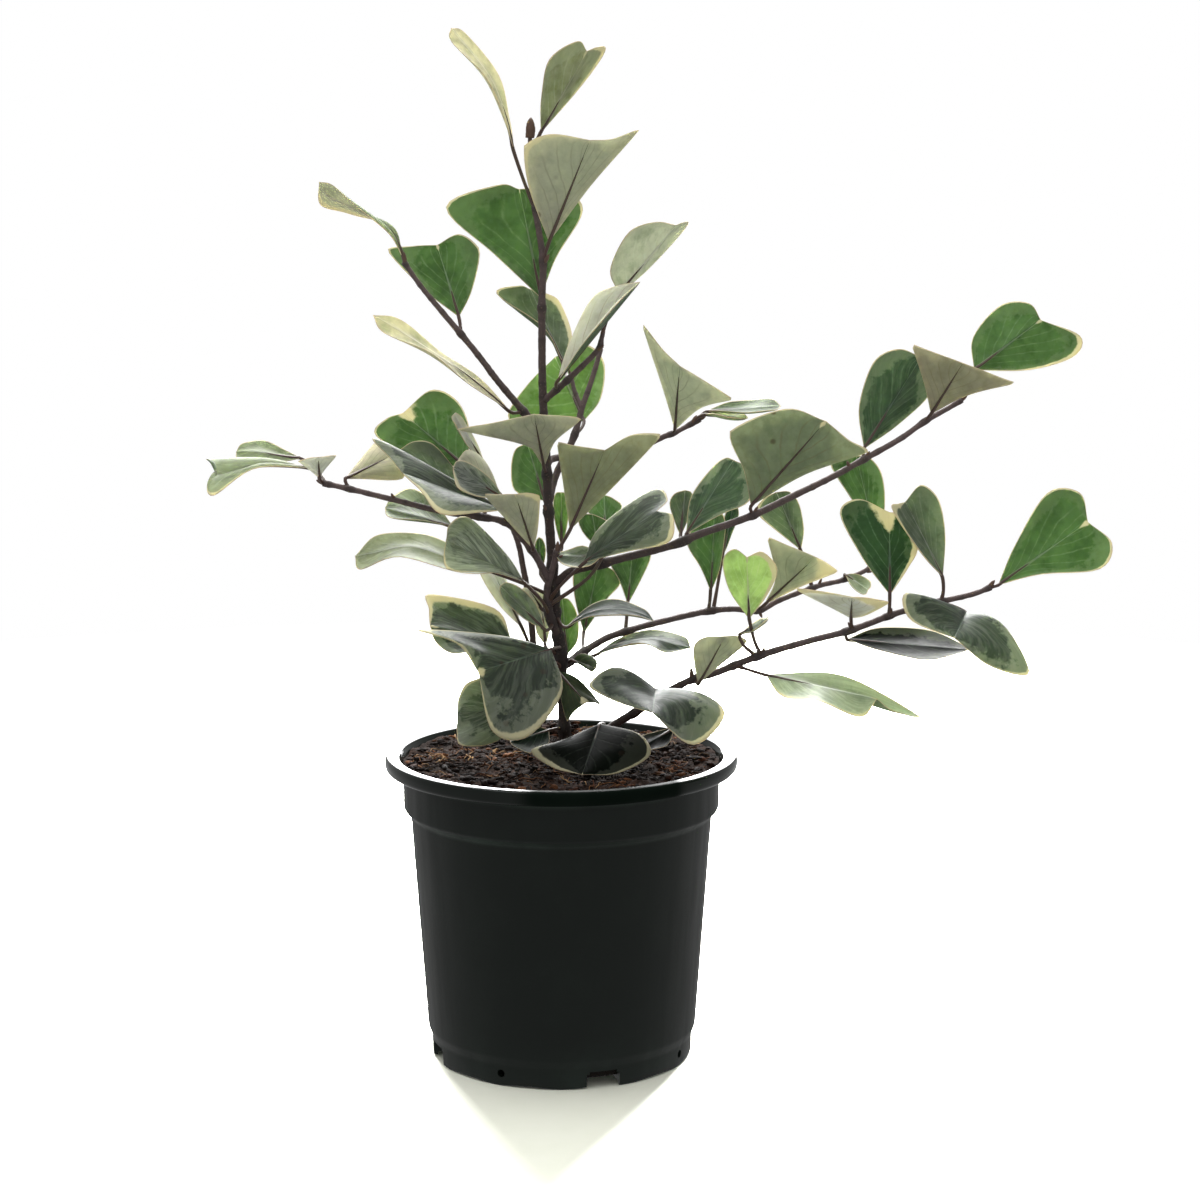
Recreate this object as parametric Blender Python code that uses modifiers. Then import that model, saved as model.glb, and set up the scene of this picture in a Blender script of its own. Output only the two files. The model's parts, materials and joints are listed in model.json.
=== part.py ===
"""A variegated triangle fig in a dark green nursery pot.

Metres, +Z up. The origin is the centre of the pot's underside, on the ground. The viewer stands at -Y.
Each stem is one solid with its own leaves. The stems that leave the soil stand in holes in it.
"""

import math
from typing import NamedTuple

import bmesh
import bpy
from mathutils import Matrix, Vector, noise

MM = 0.001
GAP = 0.3 * MM

# Pot, a nursery pot with a rolled lip, 152 mm across
LIP_RADIUS = 76.0 * MM
LIP_INNER_RADIUS = 70.0 * MM
POT_HEIGHT = 132.0 * MM
LIP_HEIGHT = 6.0 * MM
LIP_ROOT = 1.5 * MM
COLLAR_RADIUS = 68.1 * MM
COLLAR_LOW_RADIUS = 67.9 * MM
COLLAR_BOTTOM = 109.5 * MM
COLLAR_CHAMFER = 1.2 * MM
BODY_TOP_RADIUS = 64.9 * MM
BODY_TOP = 106.5 * MM
BODY_LOW_RADIUS = 58.2 * MM
BODY_LOW = 13.0 * MM
FOOT_RADIUS = 56.7 * MM
FOOT_LOW_RADIUS = 56.3 * MM
FOOT_TOP = 9.0 * MM
WALL = 1.5 * MM
FLOOR_UNDERSIDE = 2.0 * MM
FLOOR_THICKNESS = 1.6 * MM
FLOOR_CORNER = 4.0 * MM
POT_STEPS = 36
CREASE_DEG = 35.0

# The lip's rounded outer side, as pairs: in from its radius, down from its top
LIP_SECTION = (
    (2.6 * MM, -0.3 * MM),
    (0.6 * MM, 0.6 * MM),
    (0.0, 2.2 * MM),
    (0.3 * MM, 4.7 * MM),
    (1.4 * MM, 6.0 * MM),
)
SCALLOPS = 12
SCALLOP_DEPTH = 0.9 * MM

# Drain openings round the foot, turned from the -Y side towards +X
SLOT_COUNT = 4
FIRST_SLOT_DEG = 18.0
SLOT_WIDTH = 14.5 * MM
SLOT_HEIGHT = 7.5 * MM
SLOT_DEPTH = 16.0 * MM
SLOT_INWARD = 4.0 * MM
DRAIN_HOLE_RADIUS = 1.7 * MM
DRAIN_HOLE_HEIGHT = 5.5 * MM
DRAIN_HOLE_SIDES = 10

# Potting soil. Its rings are shares of the pot's inner radius
SOIL_LEVEL = 127.6 * MM
SOIL_EDGE_DROP = 2.0 * MM
SOIL_MOUND = 2.2 * MM
SOIL_BUMP = 1.5 * MM
SOIL_BUMPS_PER_METRE = 60.0
SOIL_STEPS = 30
SOIL_RINGS = (0.96, 0.8, 0.58, 0.3)
LEVEL_TOLERANCE = 0.001 * MM

# Stems
BURIED_DEPTH = 26.0 * MM
STEM_SIDES_LEVEL = 2
LEAF_ROUGHNESS = 0.45

# Leaves. A blade's columns run from edge to edge across the midrib, and its rows from foot to apex
BLADE_THICKNESS = 0.7 * MM
BLADE_COLUMNS = (-1.0, -0.5, 0.0, 0.5, 1.0)
BLADE_ROWS = (0.0, 0.25, 0.4, 0.5, 0.6, 0.75, 1.0)
SMALL_BLADE_ROWS = (0.0, 0.25, 0.5, 0.75, 1.0)
SMALL_BLADE_LENGTH = 28.0 * MM
WELD_DISTANCE = 0.001 * MM

# Leaf stalks. The bend is a point part of the way along, raised by a share of the stalk's length
PETIOLE_RADIUS = 0.85 * MM
PETIOLE_END_RADIUS = 0.5 * MM
PETIOLE_OVERLAP = 0.2
PETIOLE_BEND_AT = 0.55
PETIOLE_BEND = 0.12

# The photograph that the plant was read from: its centre and focal length in pixels,
# and the eye's place and angles. Points below are (x, y, nearness): x and y are pixels in the
# photograph, and nearness is how many millimetres nearer to the viewer than the pot's axis it lies.
PHOTO_CENTRE = 600.0
FOCAL_LENGTH = 2880.0
EYE = Vector((0.0, -1.2126, 0.4003))
EYE_DOWN = 0.16467
EYE_RIGHT = 0.01372


class Leaf(NamedTuple):
    """A blade by its foot, its apex and the three points that each of its edges passes through.

    An edge runs from the foot past a side point, the corner and a lobe point to the apex. The corner
    has its own nearness, and the other two lie halfway in depth. The root is where its stalk grows.
    """

    name: str
    root: tuple
    foot: tuple
    apex: tuple
    left: tuple
    right: tuple
    under: bool = False
    pointed: float = 0.0
    cup: float = 1.2
    arched: float = 0.0


class Stem(NamedTuple):
    """A stem by the points that it passes through, with its leaves. Radii are in millimetres."""

    name: str
    route: tuple
    radius: float
    tip_radius: float
    leaves: tuple
    parent: str = ""
    side_shoot: tuple = ()
    colour: tuple = (0.05, 0.13, 0.045)


MAIN_STEM = Stem(
    "main_stem",
    ((565, 757, 0), (563, 700, 1), (560, 650, 2), (556, 620, 3), (552, 560, 3), (548, 500, 2), (546, 450, 1),
     (543, 400, 0), (542, 350, -1), (542, 300, -2), (543, 262, -3), (539, 232, -5), (535, 208, -7),
     (531, 180, -9), (530, 158, -10), (530, 137, -10)),
    2.6, 0.9,
    (
        Leaf("crown_upright", (536, 210), (514, 150, -8), (451, 28, -8),
             ((505, 118), (484, 76, 2), (452, 41)), ((510, 118), (498, 76, -18), (466, 33)), arched=0.9),
        Leaf("crown_folded", (530, 155), (541, 133, -8), (587, 51, -14),
             ((541, 95), (550, 60, 0), (577, 41)), ((572, 97), (605, 52, -30), (598, 47))),
        Leaf("crown_broad", (545, 262), (549, 242, 0), (590, 140, 8),
             ((529, 188), (524, 146, 4), (550, 134)), ((592, 184), (639, 130, 6), (612, 139)),
             under=True, pointed=0.6),
        Leaf("crown_rear", (542, 308), (541, 298, -7), (519, 189, -20),
             ((494, 254), (446, 207, -16), (498, 185)), ((556, 258), (583, 210, -24), (560, 188))),
        Leaf("collar_level", (546, 474), (544, 467, 6), (534, 414, 26),
             ((520, 439), (457, 429, 34), (500, 421.5)), ((557, 438), (581, 419, 30), (560, 416)),
             under=True, pointed=0.5),
        Leaf("rear_left", (548, 512), (545, 501, -6), (527, 443, -22),
             ((516, 492), (511, 470, -16), (515, 450)), ((548, 480), (546, 455, -22), (537, 444))),
        Leaf("rear_right", (553, 566), (562, 548, -8), (561, 492, -20),
             ((556, 525), (553, 503, -16), (556, 493)), ((567, 528), (569, 508, -20), (566, 494))),
        Leaf("rear_small", (552, 588), (541, 574, -4), (539, 537, -10),
             ((536, 562), (534, 550, -8), (536, 541)), ((544, 563), (546, 549, -10), (543, 540))),
        Leaf("left_silver", (552, 598), (497, 573, 22), (355, 556, 34),
             ((462, 573), (400, 556, 44), (361, 570)), ((455, 548), (420, 533, 16), (378, 535)), arched=0.9),
        Leaf("arched", (556, 612), (566, 627, 8), (654, 621, 10),
             ((589, 606), (617, 599.5, -6), (643, 608)), ((589, 617), (616, 614, 22), (640, 617)),
             arched=0.9),
        Leaf("front_upper", (558, 655), (512, 640, 14), (430, 626, 22),
             ((494, 608), (430, 594, 8), (429, 610)), ((490, 647), (455, 653, 30), (436, 643))),
        Leaf("front_drape", (559, 648), (551, 649, 18), (478, 672, 42),
             ((500, 636), (419, 629, 26), (458, 645)), ((562, 692), (528, 737, 46), (492, 730)),
             cup=-3.0),
        Leaf("front_behind", (562, 695), (543, 704, 8), (457, 714, 30),
             ((512, 675), (472, 680, 22), (459, 695)), ((497, 741), (463, 746, 38), (457, 733)), cup=-1.5),
        Leaf("front_small", (564, 728), (549, 730, 7), (510, 742, 20),
             ((530, 724), (518, 732, 10), (511, 738)), ((548, 745), (530, 753, 26), (515, 747))),
        Leaf("front_centre", (560, 664), (556, 670, 9), (586, 703, 27),
             ((561, 698), (567, 722, 28), (574, 712)), ((580, 680), (604, 708, 20), (595, 703)),
             under=True, pointed=0.6),
        Leaf("rear_green", (558, 636), (567, 655, -14), (562, 598, -26),
             ((557, 640), (553, 615, -20), (556, 602)), ((578, 640), (577, 615, -28), (570, 600))),
        Leaf("rear_pale", (556, 656), (546, 646, -14), (541, 590, -22),
             ((537, 632), (535, 610, -18), (537, 596)), ((549, 632), (550, 610, -24), (547, 596))),
    ),
)

UPPER_LEFT = Stem(
    "upper_left_branch",
    ((545, 440, 1), (528, 417, 7), (513, 399, 9), (497, 380, 12), (482, 360, 14), (466, 340, 17),
     (449, 320, 19), (433, 301, 21), (420, 285, 23), (404, 262, 26)),
    1.6, 1.0,
    (
        Leaf("tip_twisted", (405, 263), (403, 258, 26), (319, 182, 32),
             ((386, 231), (346, 197, 38), (329, 184)), ((392, 226), (350, 214, 22), (321, 206)), arched=0.9),
        Leaf("triangle", (461, 334), (459, 317, 14), (437, 245, 2),
             ((422, 288), (387, 250, 6), (412, 246)), ((472, 290), (480, 250, 0), (460, 234)), pointed=0.4),
        Leaf("narrow", (523, 412), (510, 411, 12), (373, 315, 22),
             ((473, 386), (433, 355, 30), (385, 333)), ((476, 374), (437, 350, 10), (400, 319)), arched=0.9),
    ),
    parent="main_stem",
)

UPPER_RIGHT_SHOOT = Stem(
    "upper_right_shoot",
    ((543, 402, 0), (556, 390, 3), (575, 373, 5), (598, 350, 7), (601, 341, 8), (603, 332, 8)),
    1.5, 0.9,
    (
        Leaf("behind_stem", (567, 380), (563, 362, -8), (530, 289, -24),
             ((543, 327), (497, 293, -14), (519, 286)), ((572, 335), (561, 304, -30), (547, 294))),
        Leaf("beige", (558, 389), (557, 383, 8), (640, 282, 16),
             ((568, 345), (592, 300, 0), (614, 286)), ((582, 346), (613, 307, 28), (632, 290)), under=True),
        Leaf("silver", (600, 346), (619, 294, 0), (676, 225, -12),
             ((610, 268), (628, 234, 8), (655, 222)), ((648, 270), (686, 226, -28), (683, 223))),
    ),
    parent="main_stem",
)

BACK_SHOOT = Stem(
    "back_shoot",
    ((549, 502, 2), (556, 475, -8), (573, 439, -15), (578, 422, -18), (583, 405, -21), (590, 385, -25),
     (596, 366, -28), (601, 349, -30)),
    1.6, 1.0,
    (
        Leaf("broad_green", (575, 434), (584, 421, -24), (555, 357, -46),
             ((540, 430), (508, 418, -34), (527, 385)), ((601, 398), (604, 362, -52), (586, 345))),
    ),
    parent="main_stem",
    side_shoot=((582, 409, -20), (575, 392, -24), (571, 377, -27)),
)

RIGHT_BACK = Stem(
    "right_back_branch",
    ((547, 464, 1), (556, 458, -6), (600, 455, -16), (640, 447, -22), (663, 437, -24), (676, 432, -24),
     (700, 419, -26)),
    1.6, 1.0,
    (
        Leaf("spread", (672, 434), (675, 430, -22), (680, 366, 2),
             ((665, 394), (641, 323, 4), (662, 348)), ((702, 407), (733, 400, 6), (709, 383)),
             under=True, pointed=1.0),
        Leaf("side_silver", (699, 420), (706, 411, -27), (781, 406, -34),
             ((730, 402), (755, 399, -46), (773, 400)), ((730, 411), (755, 412, -18), (775, 410))),
        Leaf("side_pale", (692, 423), (704, 414, -24), (748, 418, -28),
             ((720, 411), (735, 412, -36), (744, 414)), ((716, 414), (730, 417, -16), (742, 419))),
    ),
    parent="main_stem",
)

FRONT_SHOOT = Stem(
    "front_shoot",
    ((558, 636, 3), (549, 614, 8), (547, 590, 12), (552, 571, 14), (557, 550, 16)),
    1.8, 1.1,
    (
        Leaf("high_triangle", (557, 552), (570, 530, 18), (605, 450, 26),
             ((564, 490), (557, 442, 22), (578, 446)), ((618, 482), (663, 434, 34), (632, 435)),
             under=True, pointed=0.8),
        Leaf("two_lobed", (550, 602), (583, 563, 24), (657, 511, 34),
             ((600, 528), (652, 489, 18), (668, 499)), ((630, 551), (670, 541, 46), (673, 516)), cup=-1.5),
        Leaf("wedge", (549, 606), (602, 556, 17), (556, 556, 16),
             ((585, 546), (570, 549, 11), (560, 552)), ((590, 566), (575, 567, 24), (562, 564))),
        Leaf("low_pale", (549, 612), (541, 609, 6), (527, 588, 7),
             ((530, 604), (522, 593, 10), (523, 588)), ((542, 600), (538, 592, 4), (532, 588)), under=True),
        Leaf("low_narrow", (552, 622), (546, 630, 14), (500, 586, 16),
             ((523, 618), (506, 602, 20), (500, 592)), ((536, 604), (520, 588, 10), (507, 582))),
        Leaf("left_face", (548, 617), (524, 582, 26), (446, 540, 46),
             ((495, 573), (452, 571, 56), (444, 557)), ((505, 552), (468, 518, 34), (450, 524)), cup=-2.0),
    ),
    parent="main_stem",
)

LEFT_BRANCH = Stem(
    "left_branch",
    ((549, 580, 13), (533, 552, 17), (514, 529, 22), (502, 521, 25), (481, 517, 28), (440, 511, 32),
     (395, 500, 36), (350, 489, 40), (323, 483, 42)),
    1.5, 1.1,
    (
        Leaf("small_under", (530, 550), (533, 549, 22), (515, 494, 42),
             ((512, 526), (484, 495, 46), (500, 494)), ((538, 528), (540, 496, 36), (530, 493)),
             under=True, pointed=0.7),
        Leaf("tip_small", (323, 483), (319, 478, 45), (318, 457, 56),
             ((310, 470), (298, 461, 58), (308, 458)), ((326, 466), (336, 455, 50), (328, 456)),
             under=True, pointed=0.8),
        Leaf("tip_long", (323, 483), (311, 468, 41), (216, 470, 40),
             ((265, 459), (209, 458, 26), (214, 463)), ((255, 468), (215, 496, 56), (207, 485)),
             cup=-1.5, arched=0.8),
        Leaf("tip_far", (326, 484), (302, 458, 30), (236, 452, 14),
             ((283, 449), (262, 440, 4), (243, 443)), ((280, 462), (255, 463, 24), (238, 459)), arched=0.9),
        Leaf("pale_under", (350, 489), (345, 479, 39), (392, 456, 16),
             ((360, 460), (377, 441, 10), (386, 448)), ((368, 479), (402, 479, 20), (400, 466)), under=True),
        Leaf("ridge", (505, 522), (504, 510, 30), (402, 473, 46),
             ((440, 474), (375, 438, 34), (388, 456)), ((480, 513), (441, 513, 62), (420, 491)), cup=-2.0),
        Leaf("inner", (478, 516), (470, 497, 24), (399, 450, 18),
             ((440, 490), (408, 470, 28), (398, 457)), ((462, 478), (436, 447, 8), (415, 441))),
        Leaf("heart", (486, 517), (466, 467, 14), (403, 413, -2),
             ((425, 462), (376, 436, 2), (386, 419)), ((470, 432), (458, 402, -8), (431, 390))),
        Leaf("under_branch", (462, 514), (453, 526, 24), (385, 508, 6),
             ((425, 521), (398, 518, 16), (387, 516)), ((435, 503), (410, 488, -2), (392, 497))),
    ),
    parent="front_shoot",
)

LEFT_STEM = Stem(
    "left_stem",
    ((541, 752, -10), (536, 690, -12), (533, 640, -10), (529, 600, -5), (523, 567, 3), (519, 546, 9),
     (511, 524, 14), (503, 508, 18)),
    1.7, 1.0,
    (
        Leaf("front_variegated", (506, 514), (504, 498, 33), (453, 468, 46),
             ((478, 497), (459, 488, 54), (454, 477)), ((492, 480), (468, 462, 38), (457, 461))),
        Leaf("mid_pale", (507, 516), (500, 495, 24), (459, 458, 28),
             ((478, 480), (462, 470, 34), (457, 464)), ((492, 474), (480, 455, 16), (467, 450)), under=True),
        Leaf("strip", (504, 510), (484, 462, 14), (454, 414, 19),
             ((470, 448), (457, 428, 25), (452, 418)), ((476, 440), (464, 421, 12), (457, 413))),
        Leaf("hanging_pale", (534, 654), (521, 627, -8), (492, 572, -4),
             ((500, 606), (480, 573, 2), (486, 571)), ((514, 604), (506, 580, -10), (500, 574)), under=True),
    ),
)

UPPER_RIGHT = Stem(
    "upper_right_branch",
    ((554, 585, 3), (572, 571, 6), (600, 564, 11), (623, 558, 15), (673, 545, 19), (700, 534, 21),
     (751, 516, 22), (791, 497, 21), (830, 478, 19), (868, 457, 17), (900, 439, 15), (924, 422, 13),
     (945, 410, 11), (962, 400, 10)),
    1.9, 1.0,
    (
        Leaf("rear_low", (598, 564), (598, 548, -4), (592, 514, -8),
             ((584, 534), (578, 519, -4), (583, 514)), ((606, 540), (609, 524, -12), (602, 518))),
        Leaf("rear_high", (606, 562), (606, 534, -16), (604, 495, -32),
             ((596, 520), (587, 510, -24), (595, 501)), ((615, 522), (622, 506, -36), (613, 498))),
        Leaf("upright", (686, 539), (686, 534, 20), (734, 460, 8),
             ((691, 498), (714, 465, 2), (726, 458)), ((722, 514), (750, 499, 24), (750, 470))),
        Leaf("upright_rear", (680, 542), (681, 536, 14), (685, 490, 0),
             ((675, 523), (670, 505, 6), (674, 494)), ((688, 520), (693, 505, -6), (692, 493))),
        Leaf("great_triangle", (753, 515), (751, 506, 24), (826, 421, 42),
             ((744, 471), (730, 431, 32), (786, 409)), ((806, 474), (868, 452, 46), (848, 439)),
             under=True, pointed=0.4),
        Leaf("oval", (864, 459), (864, 449, 16), (921, 357, -2),
             ((859, 405), (873, 363, 8), (898, 349)), ((899, 424), (929, 396, -12), (928, 373))),
        Leaf("pennant", (924, 422), (931, 414, 15), (963, 363, 32),
             ((924, 382), (911, 344, 28), (937, 353)), ((968, 395), (1017, 383, 38), (990, 373)),
             under=True, pointed=1.0),
        Leaf("tip", (960, 401), (974, 370, 8), (1041, 320, 2),
             ((973, 337), (1000, 306, -6), (1029, 303)), ((1030, 370), (1074, 356, 6), (1080, 336))),
    ),
    parent="main_stem",
)

MIDDLE_RIGHT = Stem(
    "middle_right_branch",
    ((562, 668, 1), (588, 649, -9), (609, 637, -16), (629, 630.5, -21), (653.5, 623.5, -26), (703, 612, -36),
     (732, 609, -40), (759, 610.5, -43), (780, 600, -46), (818, 586, -50), (843, 580, -53), (866, 570, -56),
     (880, 556, -58)),
    1.6, 1.0,
    (
        Leaf("low_curl", (570, 662), (572, 661, 4), (596, 669, 18),
             ((582, 666), (588, 670, 21), (592, 672)), ((580, 654), (590, 655, 8), (597, 662)), under=True),
        Leaf("bright_low", (583, 651), (584, 633, -24), (598, 564, -36),
             ((575, 598), (573, 574, -28), (584, 565)), ((606, 600), (621, 583, -42), (613, 570))),
        Leaf("cream_rib", (625, 631), (628, 604, -27), (632, 553, -38),
             ((620, 582), (610, 562, -30), (620, 556)), ((641, 580), (651, 555, -46), (642, 551))),
        Leaf("wavy", (578, 656), (594, 655, -10), (691, 648, -10),
             ((618, 639), (655, 630, -24), (684, 636)), ((618, 647), (645, 644, 4), (667, 652)), arched=0.9),
        Leaf("hanging", (708, 611), (711, 592, -38), (714, 512, -44),
             ((700, 566), (687, 541, -32), (699, 519)), ((721, 565), (725, 530, -52), (722, 513))),
        Leaf("dark_strip", (713, 611), (723, 556, -50), (733, 504, -66),
             ((722, 535), (725, 516, -56), (729, 505)), ((730, 540), (737, 521, -70), (738, 508))),
        Leaf("patched", (757, 610), (764, 605, -41), (816, 557, -30),
             ((776, 576), (767, 537, -34), (790, 546)), ((800, 587), (838, 572, -24), (829, 564)),
             under=True, pointed=0.8),
        Leaf("curl", (846, 579), (845, 574, -50), (868, 590, -44),
             ((852, 586), (862, 594, -36), (866, 594)), ((858, 574), (869, 580, -52), (871, 586))),
        Leaf("rear_broad", (812, 588), (801, 550, -52), (776, 492, -52),
             ((778, 532), (757, 512, -44), (763, 499)), ((804, 528), (800, 507, -62), (790, 492))),
        Leaf("rear_end", (880, 556), (877, 545, -58), (856, 456, -56),
             ((852, 500), (831, 464, -46), (842, 457)), ((884, 512), (882, 474, -66), (869, 457))),
    ),
    parent="main_stem",
)

LOW_RIGHT = Stem(
    "low_right_branch",
    ((588, 757, -10), (600, 738, -10), (617, 723, -9), (636, 712, -6), (669, 691, 0), (694, 679, 4),
     (718, 672, 7), (761, 655, 12), (809, 641, 16), (851, 630, 18), (897, 613, 19), (935, 603, 20),
     (973, 594, 20), (991, 587, 20)),
    2.0, 1.1,
    (
        Leaf("over_soil", (606, 732), (600, 724, 10), (582, 775, 42),
             ((562, 740), (531, 751, 34), (552, 767)), ((640, 734), (650, 756, 32), (618, 773)), cup=-1.5),
        Leaf("over_soil_small", (648, 705), (675, 727, 4), (637, 750, 22),
             ((660, 730), (642, 736, 6), (636, 743)), ((668, 744), (652, 750, 26), (642, 753))),
        Leaf("front_wide", (634, 713), (656, 689, 8), (652, 713, 46),
             ((616, 667), (589, 684, 34), (608, 699)), ((701, 694), (725, 715, 42), (692, 745)), cup=-3.0),
        Leaf("small_fan", (696, 678), (698, 684, 9), (725, 636, 14),
             ((694, 662), (694, 645, 18), (706, 637)), ((720, 665), (746, 643, 10), (738, 636)), under=True),
        Leaf("bright_heart", (761, 655), (749, 619, 22), (747, 557, 18),
             ((729, 590), (723, 560, 14), (734, 549)), ((766, 597), (777, 570, 24), (763, 552))),
        Leaf("sliver", (757, 656), (739, 634, 15), (768, 618, 20),
             ((748, 627), (760, 619, 10), (766, 617)), ((752, 631), (761, 624, 28), (767, 620))),
        Leaf("silver_low", (735, 667), (765, 674, 18), (877, 699, 30),
             ((845, 675), (920, 717, 8), (895, 711)), ((783, 698), (818, 700, 40), (860, 718))),
        Leaf("cream_patch", (852, 630), (851, 618, 24), (852, 597, 46),
             ((826, 604), (794, 589, 50), (822, 591)), ((868, 614), (890, 603, 44), (872, 598)), under=True,
             pointed=0.6),
        Leaf("cream_notch", (889, 616), (890, 595, 20), (889, 512, 4),
             ((861, 556), (840, 513, 8), (858, 499)), ((908, 568), (918, 546, 8), (904, 516))),
        Leaf("folded", (941, 602), (943, 577, 20), (905, 502, 12),
             ((920, 552), (893, 509, 34), (898, 504)), ((945, 538), (938, 498, -2), (921, 485))),
        Leaf("end_heart", (990, 588), (998, 585, 20), (1088, 522, 14),
             ((1016, 543), (1047, 493, 8), (1080, 493)), ((1042, 574), (1100, 569, 24), (1112, 543))),
        Leaf("drooping", (938, 603), (966, 612, 18), (954, 638, 50),
             ((937, 602), (905, 593, 40), (910, 620)), ((1004, 625), (1029, 674, 44), (990, 666)), cup=-3.0),
        Leaf("below_branch", (846, 632), (847, 639, 18), (968, 650, 16),
             ((880, 627), (925, 630, -2), (957, 641)), ((880, 651), (925, 659, 34), (955, 655))),
    ),
)

STEMS = (
    MAIN_STEM, FRONT_SHOOT, UPPER_LEFT, UPPER_RIGHT_SHOOT, BACK_SHOOT, RIGHT_BACK, LEFT_BRANCH, LEFT_STEM,
    UPPER_RIGHT, MIDDLE_RIGHT, LOW_RIGHT,
)
ROOTED = (MAIN_STEM, LEFT_STEM, LOW_RIGHT)

POT_COLOUR = (0.008, 0.014, 0.012)
POT_ROUGHNESS = 0.35
SOIL_COLOUR = (0.035, 0.018, 0.010)
SOIL_ROUGHNESS = 0.95


def seen(point):
    """The place in space of a point that is read off the photograph, on the plane of its nearness."""
    x, y, nearness = point
    right = Vector((math.cos(EYE_RIGHT), -math.sin(EYE_RIGHT), 0.0))
    level = Vector((math.sin(EYE_RIGHT), math.cos(EYE_RIGHT), 0.0))
    ahead = level * math.cos(EYE_DOWN) - Vector((0.0, 0.0, math.sin(EYE_DOWN)))
    up = right.cross(ahead)
    ray = ahead * FOCAL_LENGTH + right * (x - PHOTO_CENTRE) - up * (y - PHOTO_CENTRE)
    return EYE + ray * ((-nearness * MM - EYE.y) / ray.y)


def make_material(name, colour, roughness):
    material = bpy.data.materials.new(name)
    material.use_nodes = True
    shader = material.node_tree.nodes["Principled BSDF"]
    shader.inputs["Base Color"].default_value = (*colour, 1.0)
    shader.inputs["Roughness"].default_value = roughness
    shader.inputs["Metallic"].default_value = 0.0
    material.diffuse_color = (*colour, 1.0)
    return material


def make_object(name, mesh, collection):
    made = bpy.data.objects.new(name, mesh)
    collection.objects.link(made)
    return made


def remove_objects(objects):
    for old in list(objects):
        bpy.data.objects.remove(old, do_unlink=True)


def evaluated_mesh(source):
    graph = bpy.context.evaluated_depsgraph_get()
    return bpy.data.meshes.new_from_object(source.evaluated_get(graph))


def apply_modifiers(target):
    mesh = evaluated_mesh(target)
    target.modifiers.clear()
    target.data = mesh


def cut_with(target, cutters, operation="DIFFERENCE"):
    boolean = target.modifiers.new(operation.title(), "BOOLEAN")
    boolean.operand_type = "COLLECTION"
    boolean.collection = cutters
    boolean.operation = operation
    boolean.solver = "MANIFOLD"
    apply_modifiers(target)


def make_tube(name, points, radii, collection, sides_level=1):
    """A closed mesh tube through the points, with a radius at each."""
    curve = bpy.data.curves.new(name, "CURVE")
    curve.dimensions = "3D"
    curve.bevel_depth = 1.0
    curve.bevel_resolution = sides_level
    curve.use_fill_caps = True
    spline = curve.splines.new("POLY")
    spline.points.add(len(points) - 1)
    for control, point, radius in zip(spline.points, points, radii):
        control.co = (*point, 1.0)
        control.radius = radius
    guide = make_object(name + "_guide", curve, collection)
    bpy.context.view_layer.update()
    mesh = evaluated_mesh(guide)
    bpy.data.objects.remove(guide, do_unlink=True)
    shape = bmesh.new()
    shape.from_mesh(mesh)
    bmesh.ops.remove_doubles(shape, verts=shape.verts, dist=WELD_DISTANCE)
    bmesh.ops.recalc_face_normals(shape, faces=shape.faces)
    shape.to_mesh(mesh)
    shape.free()
    return make_object(name, mesh, collection)


def stem_radii(stem, count):
    """Radii that narrow evenly from the root to the tip."""
    last = count - 1
    return [(stem.radius + (stem.tip_radius - stem.radius) * i / last) * MM for i in range(count)]


def buried_route(stem):
    """The stem's points with a straight stretch down into the soil below the first."""
    points = [seen(p) for p in stem.route]
    if stem in ROOTED:
        points.insert(0, points[0] - Vector((0.0, 0.0, BURIED_DEPTH)))
    return points


def nearest_on(points, pixel, route):
    """The point of the stem's centre line that shows nearest to a pixel of the photograph."""
    best = None
    for (start, end), (a, b) in zip(zip(points, points[1:]), zip(route, route[1:])):
        run = Vector((b[0] - a[0], b[1] - a[1]))
        share = (Vector(pixel) - Vector(a[:2])).dot(run) / run.length_squared
        share = min(max(share, 0.0), 1.0)
        off = (Vector(a[:2]) + run * share - Vector(pixel)).length
        if best is None or off < best[0]:
            best = (off, start.lerp(end, share))
    return best[1]


def halfway(near_point, far_point, place):
    """A side or lobe point: its own pixel, and a depth halfway between its neighbours."""
    return (*place, (near_point[2] + far_point[2]) / 2)


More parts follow.
